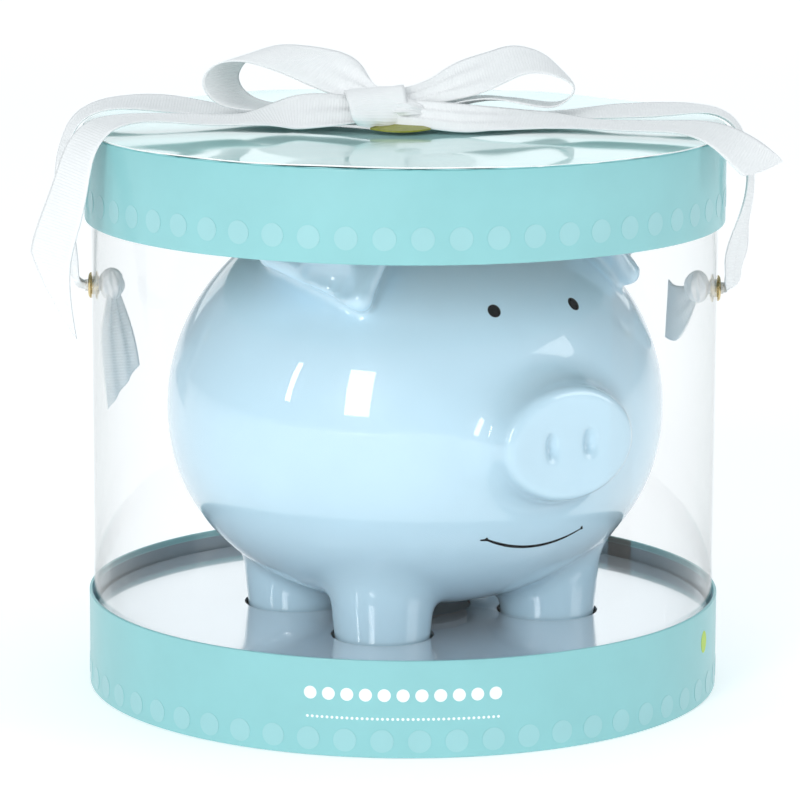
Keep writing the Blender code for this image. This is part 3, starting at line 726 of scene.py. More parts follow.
def smooth_cut(whole, hole, radius):
    return smooth_meet(whole, -hole, radius)


BODY_HALF_WIDTH, BODY_FRONT, BODY_REAR, BODY_ABOVE, BODY_BELOW = 76 * MM, 74 * MM, 76 * MM, 66 * MM, 60 * MM
FLOOR_WALL = 7 * MM
SNOUT_BLEND, FOOT_BLEND, THIN_BLEND = 8 * MM, 5 * MM, 4 * MM
SNOUT_FACE, SNOUT_HEIGHT, SNOUT_HALF_WIDTH = 82.8 * MM, 1 * MM, 22.5 * MM
SNOUT_SQUASH, SNOUT_FLARE = 0.745, 1.13
NOSTRIL_APART, NOSTRIL_RADII = 6.6 * MM, (2.1 * MM, 3.6 * MM, 4.4 * MM)
FOOT_SPREAD = Vector((30, 25, 0)) * MM
FOOT_SHIFT = -3 * MM
FOOT_RADII = (12.4 * MM, 17 * MM)
FOOT_SPAN = (2.3 * MM, 50 * MM)
EAR_POINTS = {"inner": (24, -18, 57), "back": (47, 4, 47), "outer": (66.5, -24, 54), "front": (39, -41, 56),
              "tip": (47.8, -43.2, 42)}
EAR_PANELS = (("inner", "outer", "tip"), ("inner", "front", "tip"), ("back", "outer", "tip"),
              ("outer", "front", "tip"), ("inner", "outer", "front"))
TAIL_START = Vector((0, 71, 14)) * MM
TAIL_TURNS, TAIL_CURL, TAIL_PITCH, TAIL_RADIUS = 1.3, 5.5 * MM, 9 * MM, 2.6 * MM
SLOT = Vector((5, 38, 24)) * MM
SLOT_SHIFT = 4 * MM
STOPPER_BORE, STOPPER_RECESS, STOPPER_SEAT = 13 * MM, 17 * MM, 28.5 * MM


def body_distance(p, grow=0.0, floor=0.0):
    """How far a point is from the pig's rounded body, grown or shrunk."""
    x, y, z = p[..., 0], p[..., 1], p[..., 2]
    depth = np.where(y > 0, BODY_REAR, BODY_FRONT) + grow
    height = np.where(z > 0, BODY_ABOVE + grow, BODY_BELOW + grow + floor)
    fullness = np.where(z > 0, 2.0, 2.2)
    flat = np.hypot(x / (BODY_HALF_WIDTH + grow), y / depth)
    share = (flat**fullness + np.abs(z / height) ** fullness) ** (1 / fullness) + 1e-9
    return (share - 1) / share * np.linalg.norm(p, axis=-1)


def snout_distance(p, rim):
    """A flared oval post that points forwards, with a rounded rim and a slightly dished face."""
    forward = -p[..., 1]
    lift = (p[..., 2] - SNOUT_HEIGHT) / SNOUT_SQUASH
    back = np.clip((SNOUT_FACE - forward) / (25 * MM), 0, 1)
    wide = SNOUT_HALF_WIDTH * (1 + (SNOUT_FLARE - 1) * back)
    radial = np.hypot(p[..., 0], lift)
    dish = 0.9 * MM * np.clip(1 - (radial / (0.8 * SNOUT_HALF_WIDTH)) ** 2, 0, 1)
    post = smooth_meet((radial - wide) * 0.88, forward - SNOUT_FACE + dish, rim)
    return np.maximum(post, 30 * MM - forward)


def ball_distance(p, centre, radii):
    """A stretched ball's distance, near enough for a shallow cut."""
    scaled = (p - np.array(centre)) / np.array(radii)
    share = np.linalg.norm(scaled, axis=-1) + 1e-9
    return (share - 1) / share * np.linalg.norm(p - np.array(centre), axis=-1)


def foot_distance(p, x, y):
    low, high = (level - PIG_CENTRE.z for level in FOOT_SPAN)
    rise = np.clip((p[..., 2] - low) / (high - low), 0, 1.0)
    radius = FOOT_RADII[0] + (FOOT_RADII[1] - FOOT_RADII[0]) * rise
    side = np.hypot(p[..., 0] - x, p[..., 1] - y) - radius
    ends = np.maximum(low - p[..., 2], p[..., 2] - high)
    return smooth_meet(side, ends, 4 * MM)


def panel_distance(p, corners):
    """Distance to a flat triangle."""
    a, b, c = (np.array(corner) for corner in corners)
    normal = np.cross(b - a, a - c)
    nearest, inside = [], []
    for start, end in ((a, b), (b, c), (c, a)):
        edge = end - start
        from_start = p - start
        inside.append(np.sign(from_start @ np.cross(edge, normal)))
        share = np.clip(from_start @ edge / (edge @ edge), 0, 1)
        nearest.append(((from_start - edge * share[..., None]) ** 2).sum(-1))
    flat = ((p - a) @ normal) ** 2 / (normal @ normal)
    return np.sqrt(np.where(sum(inside) < 2, np.minimum.reduce(nearest), flat))


def ear_distance(p, side):
    """A folded ear: thick panels that meet at its tip, cupped at the front."""
    corner = {name: np.array((side * x, y, z)) * MM for name, (x, y, z) in EAR_POINTS.items()}
    panels = [panel_distance(p, [corner[name] for name in panel]) - 2.6 * MM for panel in EAR_PANELS]
    joined = panels[0]
    for panel in panels[1:]:
        joined = smooth_join(joined, panel, 2.0 * MM)
    cup = (corner["outer"] + corner["front"] + corner["tip"]) / 3
    outward = cup - corner["inner"]
    cup = cup + outward / np.linalg.norm(outward) * 8.5 * MM
    return smooth_cut(joined, ball_distance(p, cup, (9 * MM, 9 * MM, 9 * MM)), 1.6 * MM)


def tail_distance(p):
    """A tapering tail that curls once about the way it points."""
    turns = np.linspace(0, TAIL_TURNS, 40)
    swing = math.tau * turns
    points = np.stack([TAIL_CURL * np.sin(swing), TAIL_PITCH * turns, TAIL_CURL * (1 - np.cos(swing))], -1)
    points += np.array(TAIL_START)
    best = np.full(p.shape[:-1], 1.0)
    for i, (start, end) in enumerate(zip(points, points[1:])):
        edge = end - start
        share = np.clip((p - start) @ edge / (edge @ edge), 0, 1)
        radius = TAIL_RADIUS * (1 - 0.35 * (i + share) / len(points))
        gap = np.linalg.norm(p - start - edge * share[..., None], axis=-1) - radius
        best = np.minimum(best, gap)
    return best


def only_near(p, low, high, distance, otherwise=0.02):
    """Works a distance out only inside a box, and gives a safe one elsewhere."""
    held = np.all((p > np.array(low)) & (p < np.array(high)), axis=-1)
    result = np.full(p.shape[:-1], otherwise)
    result[held] = distance(p[held])
    return result


def pig_distance(p):
    """The whole casting: body, snout, ears, feet and tail, then the hollow and its openings."""
    sizes = settings("piggy_pig")
    whole = smooth_join(body_distance(p), snout_distance(p, sizes.snout_rim), SNOUT_BLEND)
    for end in (-1, 1):
        for side in (-1, 1):
            foot = foot_distance(p, side * FOOT_SPREAD.x, end * FOOT_SPREAD.y + FOOT_SHIFT)
            whole = smooth_join(whole, foot, FOOT_BLEND)
    for side in (-1, 1):
        left, right = sorted((side * 15 * MM, side * 75 * MM))
        ear = only_near(p, (left, -62 * MM, 26 * MM), (right, 16 * MM, 72 * MM),
                        lambda q, side=side: ear_distance(q, side))
        whole = smooth_join(whole, ear, THIN_BLEND)
    tail = only_near(p, (-18 * MM, 60 * MM, 0), (18 * MM, 96 * MM, 36 * MM), tail_distance)
    whole = smooth_join(whole, tail, THIN_BLEND)
    for side in (-1, 1):
        nostril = ball_distance(p, (side * NOSTRIL_APART, -SNOUT_FACE - 0.4 * MM, SNOUT_HEIGHT), NOSTRIL_RADII)
        whole = smooth_cut(whole, nostril, 0.9 * MM)
    whole = smooth_meet(whole, -body_distance(p, -sizes.wall, sizes.wall - FLOOR_WALL), 1.0 * MM)
    slot = np.abs(p - np.array((0, SLOT_SHIFT, BODY_ABOVE))) - np.array(SLOT) / 2
    whole = smooth_cut(whole, slot.max(-1), 1.6 * MM)
    radius = np.hypot(p[..., 0], p[..., 1])
    bore_top, seat = -40 * MM, STOPPER_SEAT - PIG_CENTRE.z
    whole = smooth_cut(whole, np.maximum(radius - STOPPER_BORE, p[..., 2] - bore_top), 0.8 * MM)
    return smooth_cut(whole, np.maximum(radius - STOPPER_RECESS, p[..., 2] - seat), 0.8 * MM)


def slope_at(p, step=0.05 * MM):
    """The way that distance grows, by small differences."""
    return np.stack([(pig_distance(p + way) - pig_distance(p - way)) / (2 * step)
                     for way in np.eye(3) * step], -1)


def settle(p, height=0.0, rounds=4, most=0.8 * MM):
    """Moves points along the slope until they stand that height off the glaze."""
    for _ in range(rounds):
        slope = slope_at(p)
        gap = pig_distance(p) - height
        move = gap[:, None] * slope / np.maximum((slope**2).sum(-1, keepdims=True), 0.2)
        size = np.linalg.norm(move, axis=-1, keepdims=True)
        p = p - move * np.minimum(1, most / np.maximum(size, 1e-12))
    return p


def net_surface(field, low, cell):
    """A quad mesh of a sampled distance's zero level.

    It has a point in each crossed cell and a quad round each crossed edge.
    """
    inside = field < 0
    shape = np.array(field.shape) - 1

    def corner(values, offset):
        return values[tuple(slice(o, o + n) for o, n in zip(offset, shape))]

    total, count = np.zeros((*shape, 3)), np.zeros(tuple(shape), np.int32)
    for axis in range(3):
        for pair in range(4):
            offset = [0, 0, 0]
            offset[(axis + 1) % 3], offset[(axis + 2) % 3] = pair & 1, pair >> 1
            far = list(offset)
            far[axis] = 1
            first, second = corner(field, offset), corner(field, far)
            crossed = (first < 0) != (second < 0)
            share = np.where(crossed, first / np.where(crossed, first - second, 1), 0)
            place = [np.where(crossed, offset[k], 0) if k != axis else share for k in range(3)]
            total += np.stack(place, -1)
            count += crossed
    used = count > 0
    number = np.full(tuple(shape), -1)
    number[used] = np.arange(used.sum())
    points = (np.argwhere(used) + total[used] / count[used][:, None]) * cell + np.array(low)
    faces = []
    for axis in range(3):
        b, c = (axis + 1) % 3, (axis + 2) % 3
        near = [slice(1, -1)] * 3
        near[axis] = slice(0, -1)
        far = list(near)
        far[axis] = slice(1, None)
        first, second = inside[tuple(near)], inside[tuple(far)]
        where = np.argwhere(first != second)
        leaving = first[tuple(where.T)]
        base = where.copy()
        base[:, b] += 1
        base[:, c] += 1
        quad = []
        for db, dc in ((-1, -1), (0, -1), (0, 0), (-1, 0)):
            cell_at = base.copy()
            cell_at[:, b] += db
            cell_at[:, c] += dc
            quad.append(number[tuple(cell_at.T)])
        quad = np.stack(quad, -1)
        faces.append(np.where(leaving[:, None], quad, quad[:, ::-1]))
    return points, np.concatenate(faces)


def relax(points, faces):
    """Moves each point half way to the mean of its neighbours."""
    total, count = np.zeros_like(points), np.zeros(len(points))
    for k in range(4):
        for other in (faces[:, (k + 1) % 4], faces[:, k - 1]):
            np.add.at(total, faces[:, k], points[other])
            np.add.at(count, faces[:, k], 1)
    return 0.5 * points + 0.5 * total / count[:, None]


# ---------------------------------------------------------------- repeated prints and tabs


def input_named(tree, modifier, label, value):
    """Sets a Geometry Nodes input by its socket's identifier."""
    found = next(item for item in tree.interface.items_tree
                 if item.item_type == "SOCKET" and item.in_out == "INPUT" and item.name == label)
    modifier[found.identifier] = value


def row_tree():
    """Points along an arc round Z, each with a small solid that faces outwards."""
    found = bpy.data.node_groups.get("row_round_drum")
    if found:
        return found
    tree, source, sink = new_group(
        "row_round_drum", "GeometryNodeTree",
        {"Geometry": ("NodeSocketGeometry", None), "Count": ("NodeSocketInt", 56),
         "Start": ("NodeSocketFloat", 0.0), "Step": ("NodeSocketFloat", 0.1),
         "Radius": ("NodeSocketFloat", 0.1), "Height": ("NodeSocketFloat", 0.0),
         "Size": ("NodeSocketVector", (0.003, 0.003, 0.0002)), "Sides": ("NodeSocketInt", 24),
         "Jitter": ("NodeSocketFloat", 0.0),
         "Seed": ("NodeSocketInt", 1), "Finish": ("NodeSocketMaterial", None)},
        {"Geometry": "NodeSocketGeometry"},
    )
    line = add_node(tree, "GeometryNodeMeshLine")
    tree.links.new(source.outputs["Count"], line.inputs["Count"])
    index = add_node(tree, "GeometryNodeInputIndex")
    turn = maths(tree, "ADD", maths(tree, "MULTIPLY", index.outputs[0], source.outputs["Step"]),
                 source.outputs["Start"])
    drift = add_node(tree, "FunctionNodeRandomValue", data_type="FLOAT")
    tree.links.new(source.outputs["Seed"], drift.inputs["Seed"])
    shift = maths(tree, "MULTIPLY", maths(tree, "SUBTRACT", drift.outputs[1], 0.5), source.outputs["Jitter"])
    angle = maths(tree, "ADD", turn, shift)
    spot = add_node(tree, "ShaderNodeCombineXYZ")
    for label, wave in (("X", "COSINE"), ("Y", "SINE")):
        tree.links.new(maths(tree, "MULTIPLY", maths(tree, wave, angle), source.outputs["Radius"]),
                       spot.inputs[label])
    tree.links.new(source.outputs["Height"], spot.inputs["Z"])
    placed = add_node(tree, "GeometryNodeSetPosition")
    tree.links.new(line.outputs["Mesh"], placed.inputs["Geometry"])
    tree.links.new(spot.outputs[0], placed.inputs["Position"])
    facing = add_node(tree, "ShaderNodeCombineXYZ")
    facing.inputs["X"].default_value = math.pi / 2
    tree.links.new(maths(tree, "ADD", angle, math.pi / 2), facing.inputs["Z"])
    solid = add_node(tree, "GeometryNodeMeshCylinder", fill_type="NGON")
    solid.inputs["Radius"].default_value = 1.0
    solid.inputs["Depth"].default_value = 1.0
    tree.links.new(source.outputs["Sides"], solid.inputs["Vertices"])
    many = add_node(tree, "GeometryNodeInstanceOnPoints")
    tree.links.new(placed.outputs["Geometry"], many.inputs["Points"])
    tree.links.new(solid.outputs["Mesh"], many.inputs["Instance"])
    tree.links.new(facing.outputs[0], many.inputs["Rotation"])
    tree.links.new(source.outputs["Size"], many.inputs["Scale"])
    real = add_node(tree, "GeometryNodeRealizeInstances")
    painted = add_node(tree, "GeometryNodeSetMaterial")
    tree.links.new(many.outputs["Instances"], real.inputs["Geometry"])
    tree.links.new(real.outputs["Geometry"], painted.inputs["Geometry"])
    tree.links.new(source.outputs["Finish"], painted.inputs["Material"])
    tree.links.new(painted.outputs["Geometry"], sink.inputs["Geometry"])
    return tree


def row_piece(name, body, slot, finish, **values):
    """Runs the row tree and keeps its result as a plain mesh that stands with the drum."""
    tree = row_tree()
    carrier = bpy.data.objects.new(name + "_rule", bpy.data.meshes.new(name + "_rule"))
    bpy.context.scene.collection.objects.link(carrier)
    modifier = carrier.modifiers.new("row", "NODES")
    modifier.node_group = tree
    for label, value in values.items():
        input_named(tree, modifier, label, value)
    input_named(tree, modifier, "Finish", finish_named(finish))
    bpy.context.view_layer.update()
    evaluated = carrier.evaluated_get(bpy.context.evaluated_depsgraph_get())
    mesh = bpy.data.meshes.new_from_object(evaluated)
    carrier.modifiers.clear()
    bpy.data.objects.remove(carrier)
    mesh.name = name
    mesh.transform(DRUM)
    if not mesh.materials:
        mesh.materials.append(finish_named(finish))
    mesh.shade_smooth()
    made = enter(bpy.data.objects.new(name, mesh), body)
    return soften(made)


# ---------------------------------------------------------------- operators


# The camera's lens, its place on the drum's axes in millimetres, and its pitch, yaw and roll in degrees.
LENS = 187.67
VIEW_PLACE = (-2.3, -1253.9, 326.5)
VIEW_TURN = (-10.84, -0.05, 0.28)


class PIGGY_OT_stage(bpy.types.Operator):
    """Lays a pale floor and sets the soft lights and the camera"""

    bl_idname = "piggy.stage"
    bl_label = "Stage"

    def execute(self, context):
        reach, level = 30, -0.2 * MM
        corners = [(x * reach, y * reach, level) for x, y in ((-1, -1), (1, -1), (1, 1), (-1, 1))]
        floor = mesh_piece("floor", corners, [(0, 1, 2, 3)], ["floor"], None)
        world = bpy.data.worlds.new("soft_room")
        world.use_nodes = True
        background = world.node_tree.nodes["Background"]
        background.inputs["Color"].default_value = (0.82, 0.93, 1.0, 1)
        background.inputs["Strength"].default_value = 0.40
        context.scene.world = world
        target = Vector((0, 0, 0.09))
        # Each light: name, place on the drum's axes, width, height, watts, colour.
        lights = (
            ("front_box", (-0.95, -2.1, 0.93), 0.5, 1.1, 13, (1, 1, 1)),
            ("side_strip", (-2.1, -1.25, 1.0), 0.12, 0.9, 4.5, (1, 1, 1)),
            ("overhead", (0.1, 0.35, 2.4), 2.4, 2.4, 17, (1, 1, 1)),
            ("back_card", (0.0, 2.6, 0.75), 3.2, 0.9, 8, (0.97, 1, 1)),
            ("right_fill", (2.2, -0.6, 0.9), 1.2, 1.2, 11, (1, 1, 1)),
            ("front_fill", (-0.7, -2.6, 0.7), 2.4, 1.8, 25, (1, 1, 1)),
        )
        for name, place, width, height, watts, colour in lights:
            data = bpy.data.lights.new(name, "AREA")
            data.shape = "RECTANGLE"
            data.size, data.size_y = width, height
            data.energy = watts
            data.color = colour
            lamp = bpy.data.objects.new(name, data)
            at = DRUM @ Vector(place)
            lamp.location = at
            lamp.rotation_euler = (target - at).to_track_quat("-Z", "Y").to_euler()
            lamp.visible_glossy = name != "front_fill"
            context.scene.collection.objects.link(lamp)
        camera = bpy.data.cameras.new("camera")
        camera.lens = LENS
        camera.clip_end = 100
        viewer = bpy.data.objects.new("camera", camera)
        pitch, yaw, roll = (math.radians(angle) for angle in VIEW_TURN)
        aim = (Matrix.Rotation(DRUM_TURN + yaw, 4, "Z") @ Matrix.Rotation(math.pi / 2 + pitch, 4, "X")
               @ Matrix.Rotation(roll, 4, "Z"))
        place = DRUM @ Vector(VIEW_PLACE) * MM
        viewer.matrix_world = Matrix.Translation(place) @ aim
        context.scene.collection.objects.link(viewer)
        context.scene.camera = viewer
        context.scene.view_settings.view_transform = "Standard"
        return {"FINISHED"}


class PIGGY_OT_pig(bpy.types.Operator):
    """Meshes the glazed pig from its rounded shapes"""

    bl_idname = "piggy.pig"
    bl_label = "Pig"

    def execute(self, context):
        cell = settings("piggy_pig").cell * 1
        low = np.array((-80, -91, -87)) * MM
        high = np.array((80, 95, 71)) * MM
        axes = [np.arange(a, b, cell) for a, b in zip(low, high)]
        p = np.stack(np.meshgrid(*axes, indexing="ij"), -1)
        points, faces = net_surface(pig_distance(p), low, cell)
        points = settle(points)
        points = settle(relax(points, faces), rounds=3)
        points = settle(relax(points, faces), rounds=2)
        mesh_piece("glazed_pig", points + np.array(PIG_CENTRE), faces, ["glaze"], "pig",
                   ["pig_body"])
        return {"FINISHED"}


class PIGGY_OT_face(bpy.types.Operator):
    """Paints the eyes and the smile on the glaze"""

    bl_idname = "piggy.face"
    bl_label = "Painted face"

    eye_apart: FloatProperty(name="Eyes apart", description="Half the distance between the eyes",
                             default=15.5 * MM, unit="LENGTH")
    eye_height: FloatProperty(name="Eye height", description="Height of the eyes over the body's centre",
                              default=41.6 * MM, unit="LENGTH")
    eye_drift: FloatProperty(name="Eye drift", description="How far the hand-painted eyes sit off the middle",
                             default=2.6 * MM, unit="LENGTH")
    smile_drift: FloatProperty(name="Smile drift", description="How far the smile sits off the middle",
                               default=-1.8 * MM, unit="LENGTH")

    def execute(self, context):
        sizes = settings("piggy_pig")
        for name, side in (("eye_left", 1), ("eye_right", -1)):
            self.eye(name, side * self.eye_apart + self.eye_drift, sizes.eye)
        self.smile(sizes.line)
        return {"FINISHED"}

    def eye(self, name, x, radius):
        """A low painted dome."""
        rings, sides = 7, 40
        start = settle(np.array([(x, -64 * MM, self.eye_height)]), rounds=12, most=5 * MM)[0]
        out = unit(slope_at(start[None]))[0]
        side = unit(np.cross((0, 0, 1), out))
        up = np.cross(out, side)
        points = [start]
        for ring in range(1, rings + 1):
            reach = radius * ring / rings
            for k in range(sides):
                angle = math.tau * k / sides
                wide, tall = 0.96 * reach * math.cos(angle), 1.04 * reach * math.sin(angle)
                points.append(start + side * wide + up * tall)
        points = np.array(points)
        share = np.concatenate([[0], np.repeat(np.arange(1, rings + 1) / rings, sides)])
        points = settle(points, height=0.16 * MM * (1 - share**4) - 0.03 * MM, rounds=6)
        faces = [(0, 1 + k, 1 + (k + 1) % sides) for k in range(sides)]
        faces += [tuple(f + 1) for f in grid_faces(rings, sides, wrap_columns=True)[:, ::-1]]
        made = mesh_piece(name, points + np.array(PIG_CENTRE), faces, ["enamel"], "pig")
        out_of_shell(made, out)

    def smile(self, width):
        """A thin brush line with two short ticks at each end."""
        reach, ends, sag = 19.3 * MM, -31.4 * MM, 5.0 * MM
        t = np.linspace(-0.89, 1, 115)
        level = ends - 0.9 * MM * t - sag * (1 - t**2)
        curve = np.stack([reach * t + self.smile_drift, np.full_like(t, -70 * MM), level], -1)
        strokes = [(curve, width * (0.45 + 0.55 * (1 - np.abs(t) ** 3)))]
        s = np.linspace(0, 1, 13)[:, None]
        # Each tick: the end it stands on, and where it starts and stops from there in millimetres.
        for tip, start, end in (
            (curve[0], (0.4, 0, -0.15), (-2.2, 0, -0.45)), (curve[0], (0.1, 0, -0.2), (-0.1, 0, 1.0)),
            (curve[-1], (0.05, 0, -0.3), (-0.3, 0, 1.3)), (curve[-1], (-0.2, 0, 0.1), (0.75, 0, -0.45)),
        ):
            stroke = tip + (np.array(start) * (1 - s) + np.array(end) * s) * MM
            strokes.append((stroke, width * (0.8 - 0.3 * s[:, 0] ** 2)))
        points, faces = [], []
        for line, widths in strokes:
            line = settle(line, rounds=12, most=5 * MM)
            out = unit(slope_at(line))
            side = unit(np.cross(np.gradient(line, axis=0), out))
            strip = np.stack([line + side * widths[:, None] * s for s in (-0.5, -0.2, 0.2, 0.5)], 1)
            lift = np.tile((-0.03 * MM, 0.09 * MM, 0.09 * MM, -0.03 * MM), len(line))
            strip = settle(strip.reshape(-1, 3), height=lift, rounds=5)
            faces += [tuple(f + len(points)) for f in grid_faces(len(line), 4)]
            points += list(strip)
        made = mesh_piece("smile", np.array(points) + np.array(PIG_CENTRE), faces, ["enamel"], "pig")
        out_of_shell(made, np.array((0, -1, 0)))


def out_of_shell(made, out):
    """Turns an open painted patch so that its faces look the given way."""
    bm = bmesh.new()
    bm.from_mesh(made.data)
    if sum(face.normal.dot(Vector(out)) for face in bm.faces) < 0:
        bmesh.ops.reverse_faces(bm, faces=bm.faces)
    bm.to_mesh(made.data)
    bm.free()


def paper_lap(angles):
    """Where a band's paper laps over itself at the back, and how far the lap stands proud."""
    start, wide, proud = math.radians(70), math.radians(6), 0.04 * MM
    return np.where((angles > start) & (angles < start + wide), proud, 0.0)


def paper_band(name, outline, body, node):
    """A turned board ring covered in mint paper."""
    points, faces = turned(outline, bulge=paper_lap)
    made = mesh_piece(name, points, faces, ["mint"], body, [node], turn=DRUM)
    return soften(made, 40)


class PIGGY_OT_drum(bpy.types.Operator):
    """Makes the paper-covered base, the clear sleeve and the card platform"""

    bl_idname = "piggy.drum"
    bl_label = "Drum"

    def execute(self, context):
        low, high = heights("base_band")
        inner = BASE_RADIUS - 1.2 * MM
        outline = rounded([(inner, low), (BASE_RADIUS, low), (BASE_RADIUS, high), (inner + 0.2 * MM, high),
                           (inner + 0.2 * MM, high - 1.7 * MM), (inner, high - 1.9 * MM)], 0.4 * MM)
        made = paper_band("base_paper_band", outline, "drum", "base_band")
        # The inner faces take the darker blue-grey finish, painted shade where the band's inside lies in
        # shadow.
        made.data.materials.append(finish_named("band_inside_painted_shade"))
        for face in made.data.polygons:
            centre = face.center
            if math.hypot(centre.x, centre.y) < BASE_RADIUS - 1.15 * MM:
                face.material_index = 1
        self.sleeve()
        refinish("base_disc", "greyboard")
        refinish("platform_card", "pearl")
        return {"FINISHED"}

    def sleeve(self):
        low, high = heights("clear_sleeve")
        wall = 0.35 * MM
        outline = rounded([(SLEEVE_RADIUS - wall, low), (SLEEVE_RADIUS, low), (SLEEVE_RADIUS, high),
                           (SLEEVE_RADIUS - wall, high)], 0.1 * MM, 1)
        points, faces = turned(outline)
        made = mesh_piece("film_sleeve", points, faces, ["film"], "drum", ["clear_sleeve"],
                          turn=DRUM)
        soften(made)
        lap = settings("piggy_drum").seam_turn - math.pi / 2
        wide, steps = math.radians(5.5), 10
        inner, outer = SLEEVE_RADIUS - 0.75 * MM, SLEEVE_RADIUS - 0.45 * MM
        points = []
        for step in range(steps + 1):
            angle = lap + wide * step / steps
            for radius, level in ((inner, low), (outer, low), (outer, high), (inner, high)):
                points.append((radius * math.cos(angle), radius * math.sin(angle), level))
        faces = [tuple(f) for f in grid_faces(steps + 1, 4, wrap_columns=True)]
        faces += [(3, 2, 1, 0), tuple(steps * 4 + i for i in range(4))]
        strip = mesh_piece("sleeve_lap", points, faces, ["film"], None, turn=DRUM)
        face_out(strip)
        soften(enter(strip, "drum"))


class PIGGY_OT_lid(bpy.types.Operator):
    """Makes the lid's paper-covered band and its wavy glossy top"""

    bl_idname = "piggy.lid"
    bl_label = "Lid"

    def execute(self, context):
        sizes = settings("piggy_drum")
        low, high = heights("lid_band")
        outline = rounded([(LID_RADIUS - 1.5 * MM, low), (LID_RADIUS, low), (LID_RADIUS, high),
                           (LID_RADIUS - 1.5 * MM, high)], 0.6 * MM)
        paper_band("lid_paper_band", outline, "lid", "lid_band")
        self.top_paper(sizes.paper_wave)
        row_piece("lid_tabs", "lid", "mint_board", "mint", Count=sizes.tabs, Step=math.tau / sizes.tabs,
                  Start=0.03, Radius=LID_RADIUS - 3.1 * MM, Height=high + 0.06 * MM,
                  Size=(7.6 * MM, 0.18 * MM, 7.0 * MM), Sides=4, Jitter=0.02, Seed=4)
        refinish("lid_board", "greyboard")
        return {"FINISHED"}

    def top_paper(self, wave):
        """A disc of paper that lifts a little between the places where it is glued."""
        low, high = heights("lid_top_sheet")
        radius, paper = LID_RADIUS + 0.4 * MM, 0.4 * MM
        rings, steps = 60, ROUND_STEPS
        reach = (np.arange(1, rings + 1) / rings)[:, None] * radius
        angle = (np.arange(steps) * math.tau / steps)[None, :]
        x, y = reach * np.cos(angle), reach * np.sin(angle)
        lift = np.sin(x * 52 + 1.3 * np.sin(y * 38)) * np.cos(y * 61 + 0.6) + 0.5 * np.sin(x * 31 - y * 84 + 2)
        loose = np.sin(3 * angle + 1) * 0.5 + np.sin(7 * angle + 0.4) * 0.3 + np.sin(13 * angle) * 0.3
        rim = np.clip((reach / radius - 0.86) / 0.14, 0, 1) ** 2 * np.clip(loose, -0.6, 1) * 0.35 * MM
        level = high - 0.45 * MM + wave * lift * 0.5 + rim
        centre = [(0, 0, float(level[0].mean()))]
        top = np.stack([x, y, level], -1).reshape(-1, 3)
        under = top - np.array((0, 0, paper))
        points = np.concatenate([centre, top, np.array(centre) - np.array((0, 0, paper)), under])
        shell = len(top) + 1
        fan = [(0, 1 + k, 1 + (k + 1) % steps) for k in range(steps)]
        body = [tuple(f + 1) for f in grid_faces(rings, steps, wrap_columns=True)]
        body = [f[::-1] for f in body]
        upper = fan + body
        lower = [tuple(i + shell for i in f[::-1]) for f in upper]
        first = 1 + (rings - 1) * steps
        edge = [(first + k, first + shell + k, first + shell + (k + 1) % steps, first + (k + 1) % steps)
                for k in range(steps)]
        which = [0] * (len(upper) + len(lower)) + [1] * len(edge)
        made = mesh_piece("lid_top_paper", points, upper + lower + edge, ["lid_paper", "paper_edge"], None,
                          turn=DRUM, which=which)
        face_out(made)
        soften(enter(made, "lid", ["lid_top_sheet"]), 50)


class PIGGY_OT_prints(bpy.types.Operator):
    """Prints the rows of dots and a small plain motif on the bands"""

    bl_idname = "piggy.prints"
    bl_label = "Prints"

    def execute(self, context):
        sizes = settings("piggy_drum")
        ring = {"Count": sizes.dots, "Step": math.tau / sizes.dots}
        dot = (sizes.dot_radius, sizes.dot_radius, 0.3 * MM)
        sunk = sizes.ink - 0.15 * MM
        row_piece("lid_dots", "lid", "mint_board", "dot", Height=sizes.lid_dot_height,
                  Radius=LID_RADIUS + sunk, Size=dot, Start=0.051, **ring)
        row_piece("base_dots", "drum", "mint_board", "dot", Height=sizes.base_dot_height,
                  Radius=BASE_RADIUS + sunk, Size=dot, Start=0.05, **ring)
        front = -math.pi / 2
        for name, count, step, size, height, finish in (
            ("base_motif_pips", 11, 0.056, 1.9 * MM, 18.6 * MM, "white_print"),
            ("base_motif_line", 39, 0.0152, 0.42 * MM, 11.6 * MM, "white_print"),
        ):
            row_piece(name, "drum", "mint_board", finish, Count=count, Step=step,
                      Start=front - step * (count - 1) / 2, Radius=BASE_RADIUS + sunk, Height=height,
                      Size=(size, size, 0.3 * MM))
        row_piece("base_motif_spot", "drum", "mint_board", "lime_print", Count=1, Start=front + 1.22,
                  Radius=BASE_RADIUS + sunk, Height=19 * MM, Size=(2.6 * MM, 3.4 * MM, 0.3 * MM))
        return {"FINISHED"}


class PIGGY_OT_eyelets(bpy.types.Operator):
    """Turns the flanged brass eyelets and finishes their washers"""

    bl_idname = "piggy.eyelets"
    bl_label = "Eyelets"

    def execute(self, context):
        bore, barrel, flange, length = 2.3 * MM, 2.8 * MM, 4.0 * MM, 2.3 * MM
        outline = rounded([(bore, -length), (barrel, -length), (barrel, 0), (flange, 0), (flange, 0.35 * MM),
                           (3.4 * MM, 0.85 * MM), (barrel, 0.8 * MM), (bore, 0.35 * MM)], 0.3 * MM, 3)
        for side, sign in (("left", -1), ("right", 1)):
            turn = (DRUM @ Matrix.Translation((sign * EYELET_SEAT, 0, EYELET_HEIGHT))
                    @ Matrix.Rotation(sign * math.pi / 2, 4, "Y"))
            points, faces = turned(outline, steps=64)
            made = mesh_piece(f"brass_eyelet_{side}", points, faces, ["brass"], None, turn=turn)
            face_out(made)
            soften(enter(made, "drum", [f"eyelet_{side}"]), 50)
            refinish(f"eyelet_washer_{side}", "brass")
        return {"FINISHED"}


class PIGGY_OT_stopper(bpy.types.Operator):
    """Gives the belly stopper its rubber"""

    bl_idname = "piggy.stopper"
    bl_label = "Belly stopper"

    def execute(self, context):
        refinish("belly_stopper", "rubber")
        return {"FINISHED"}


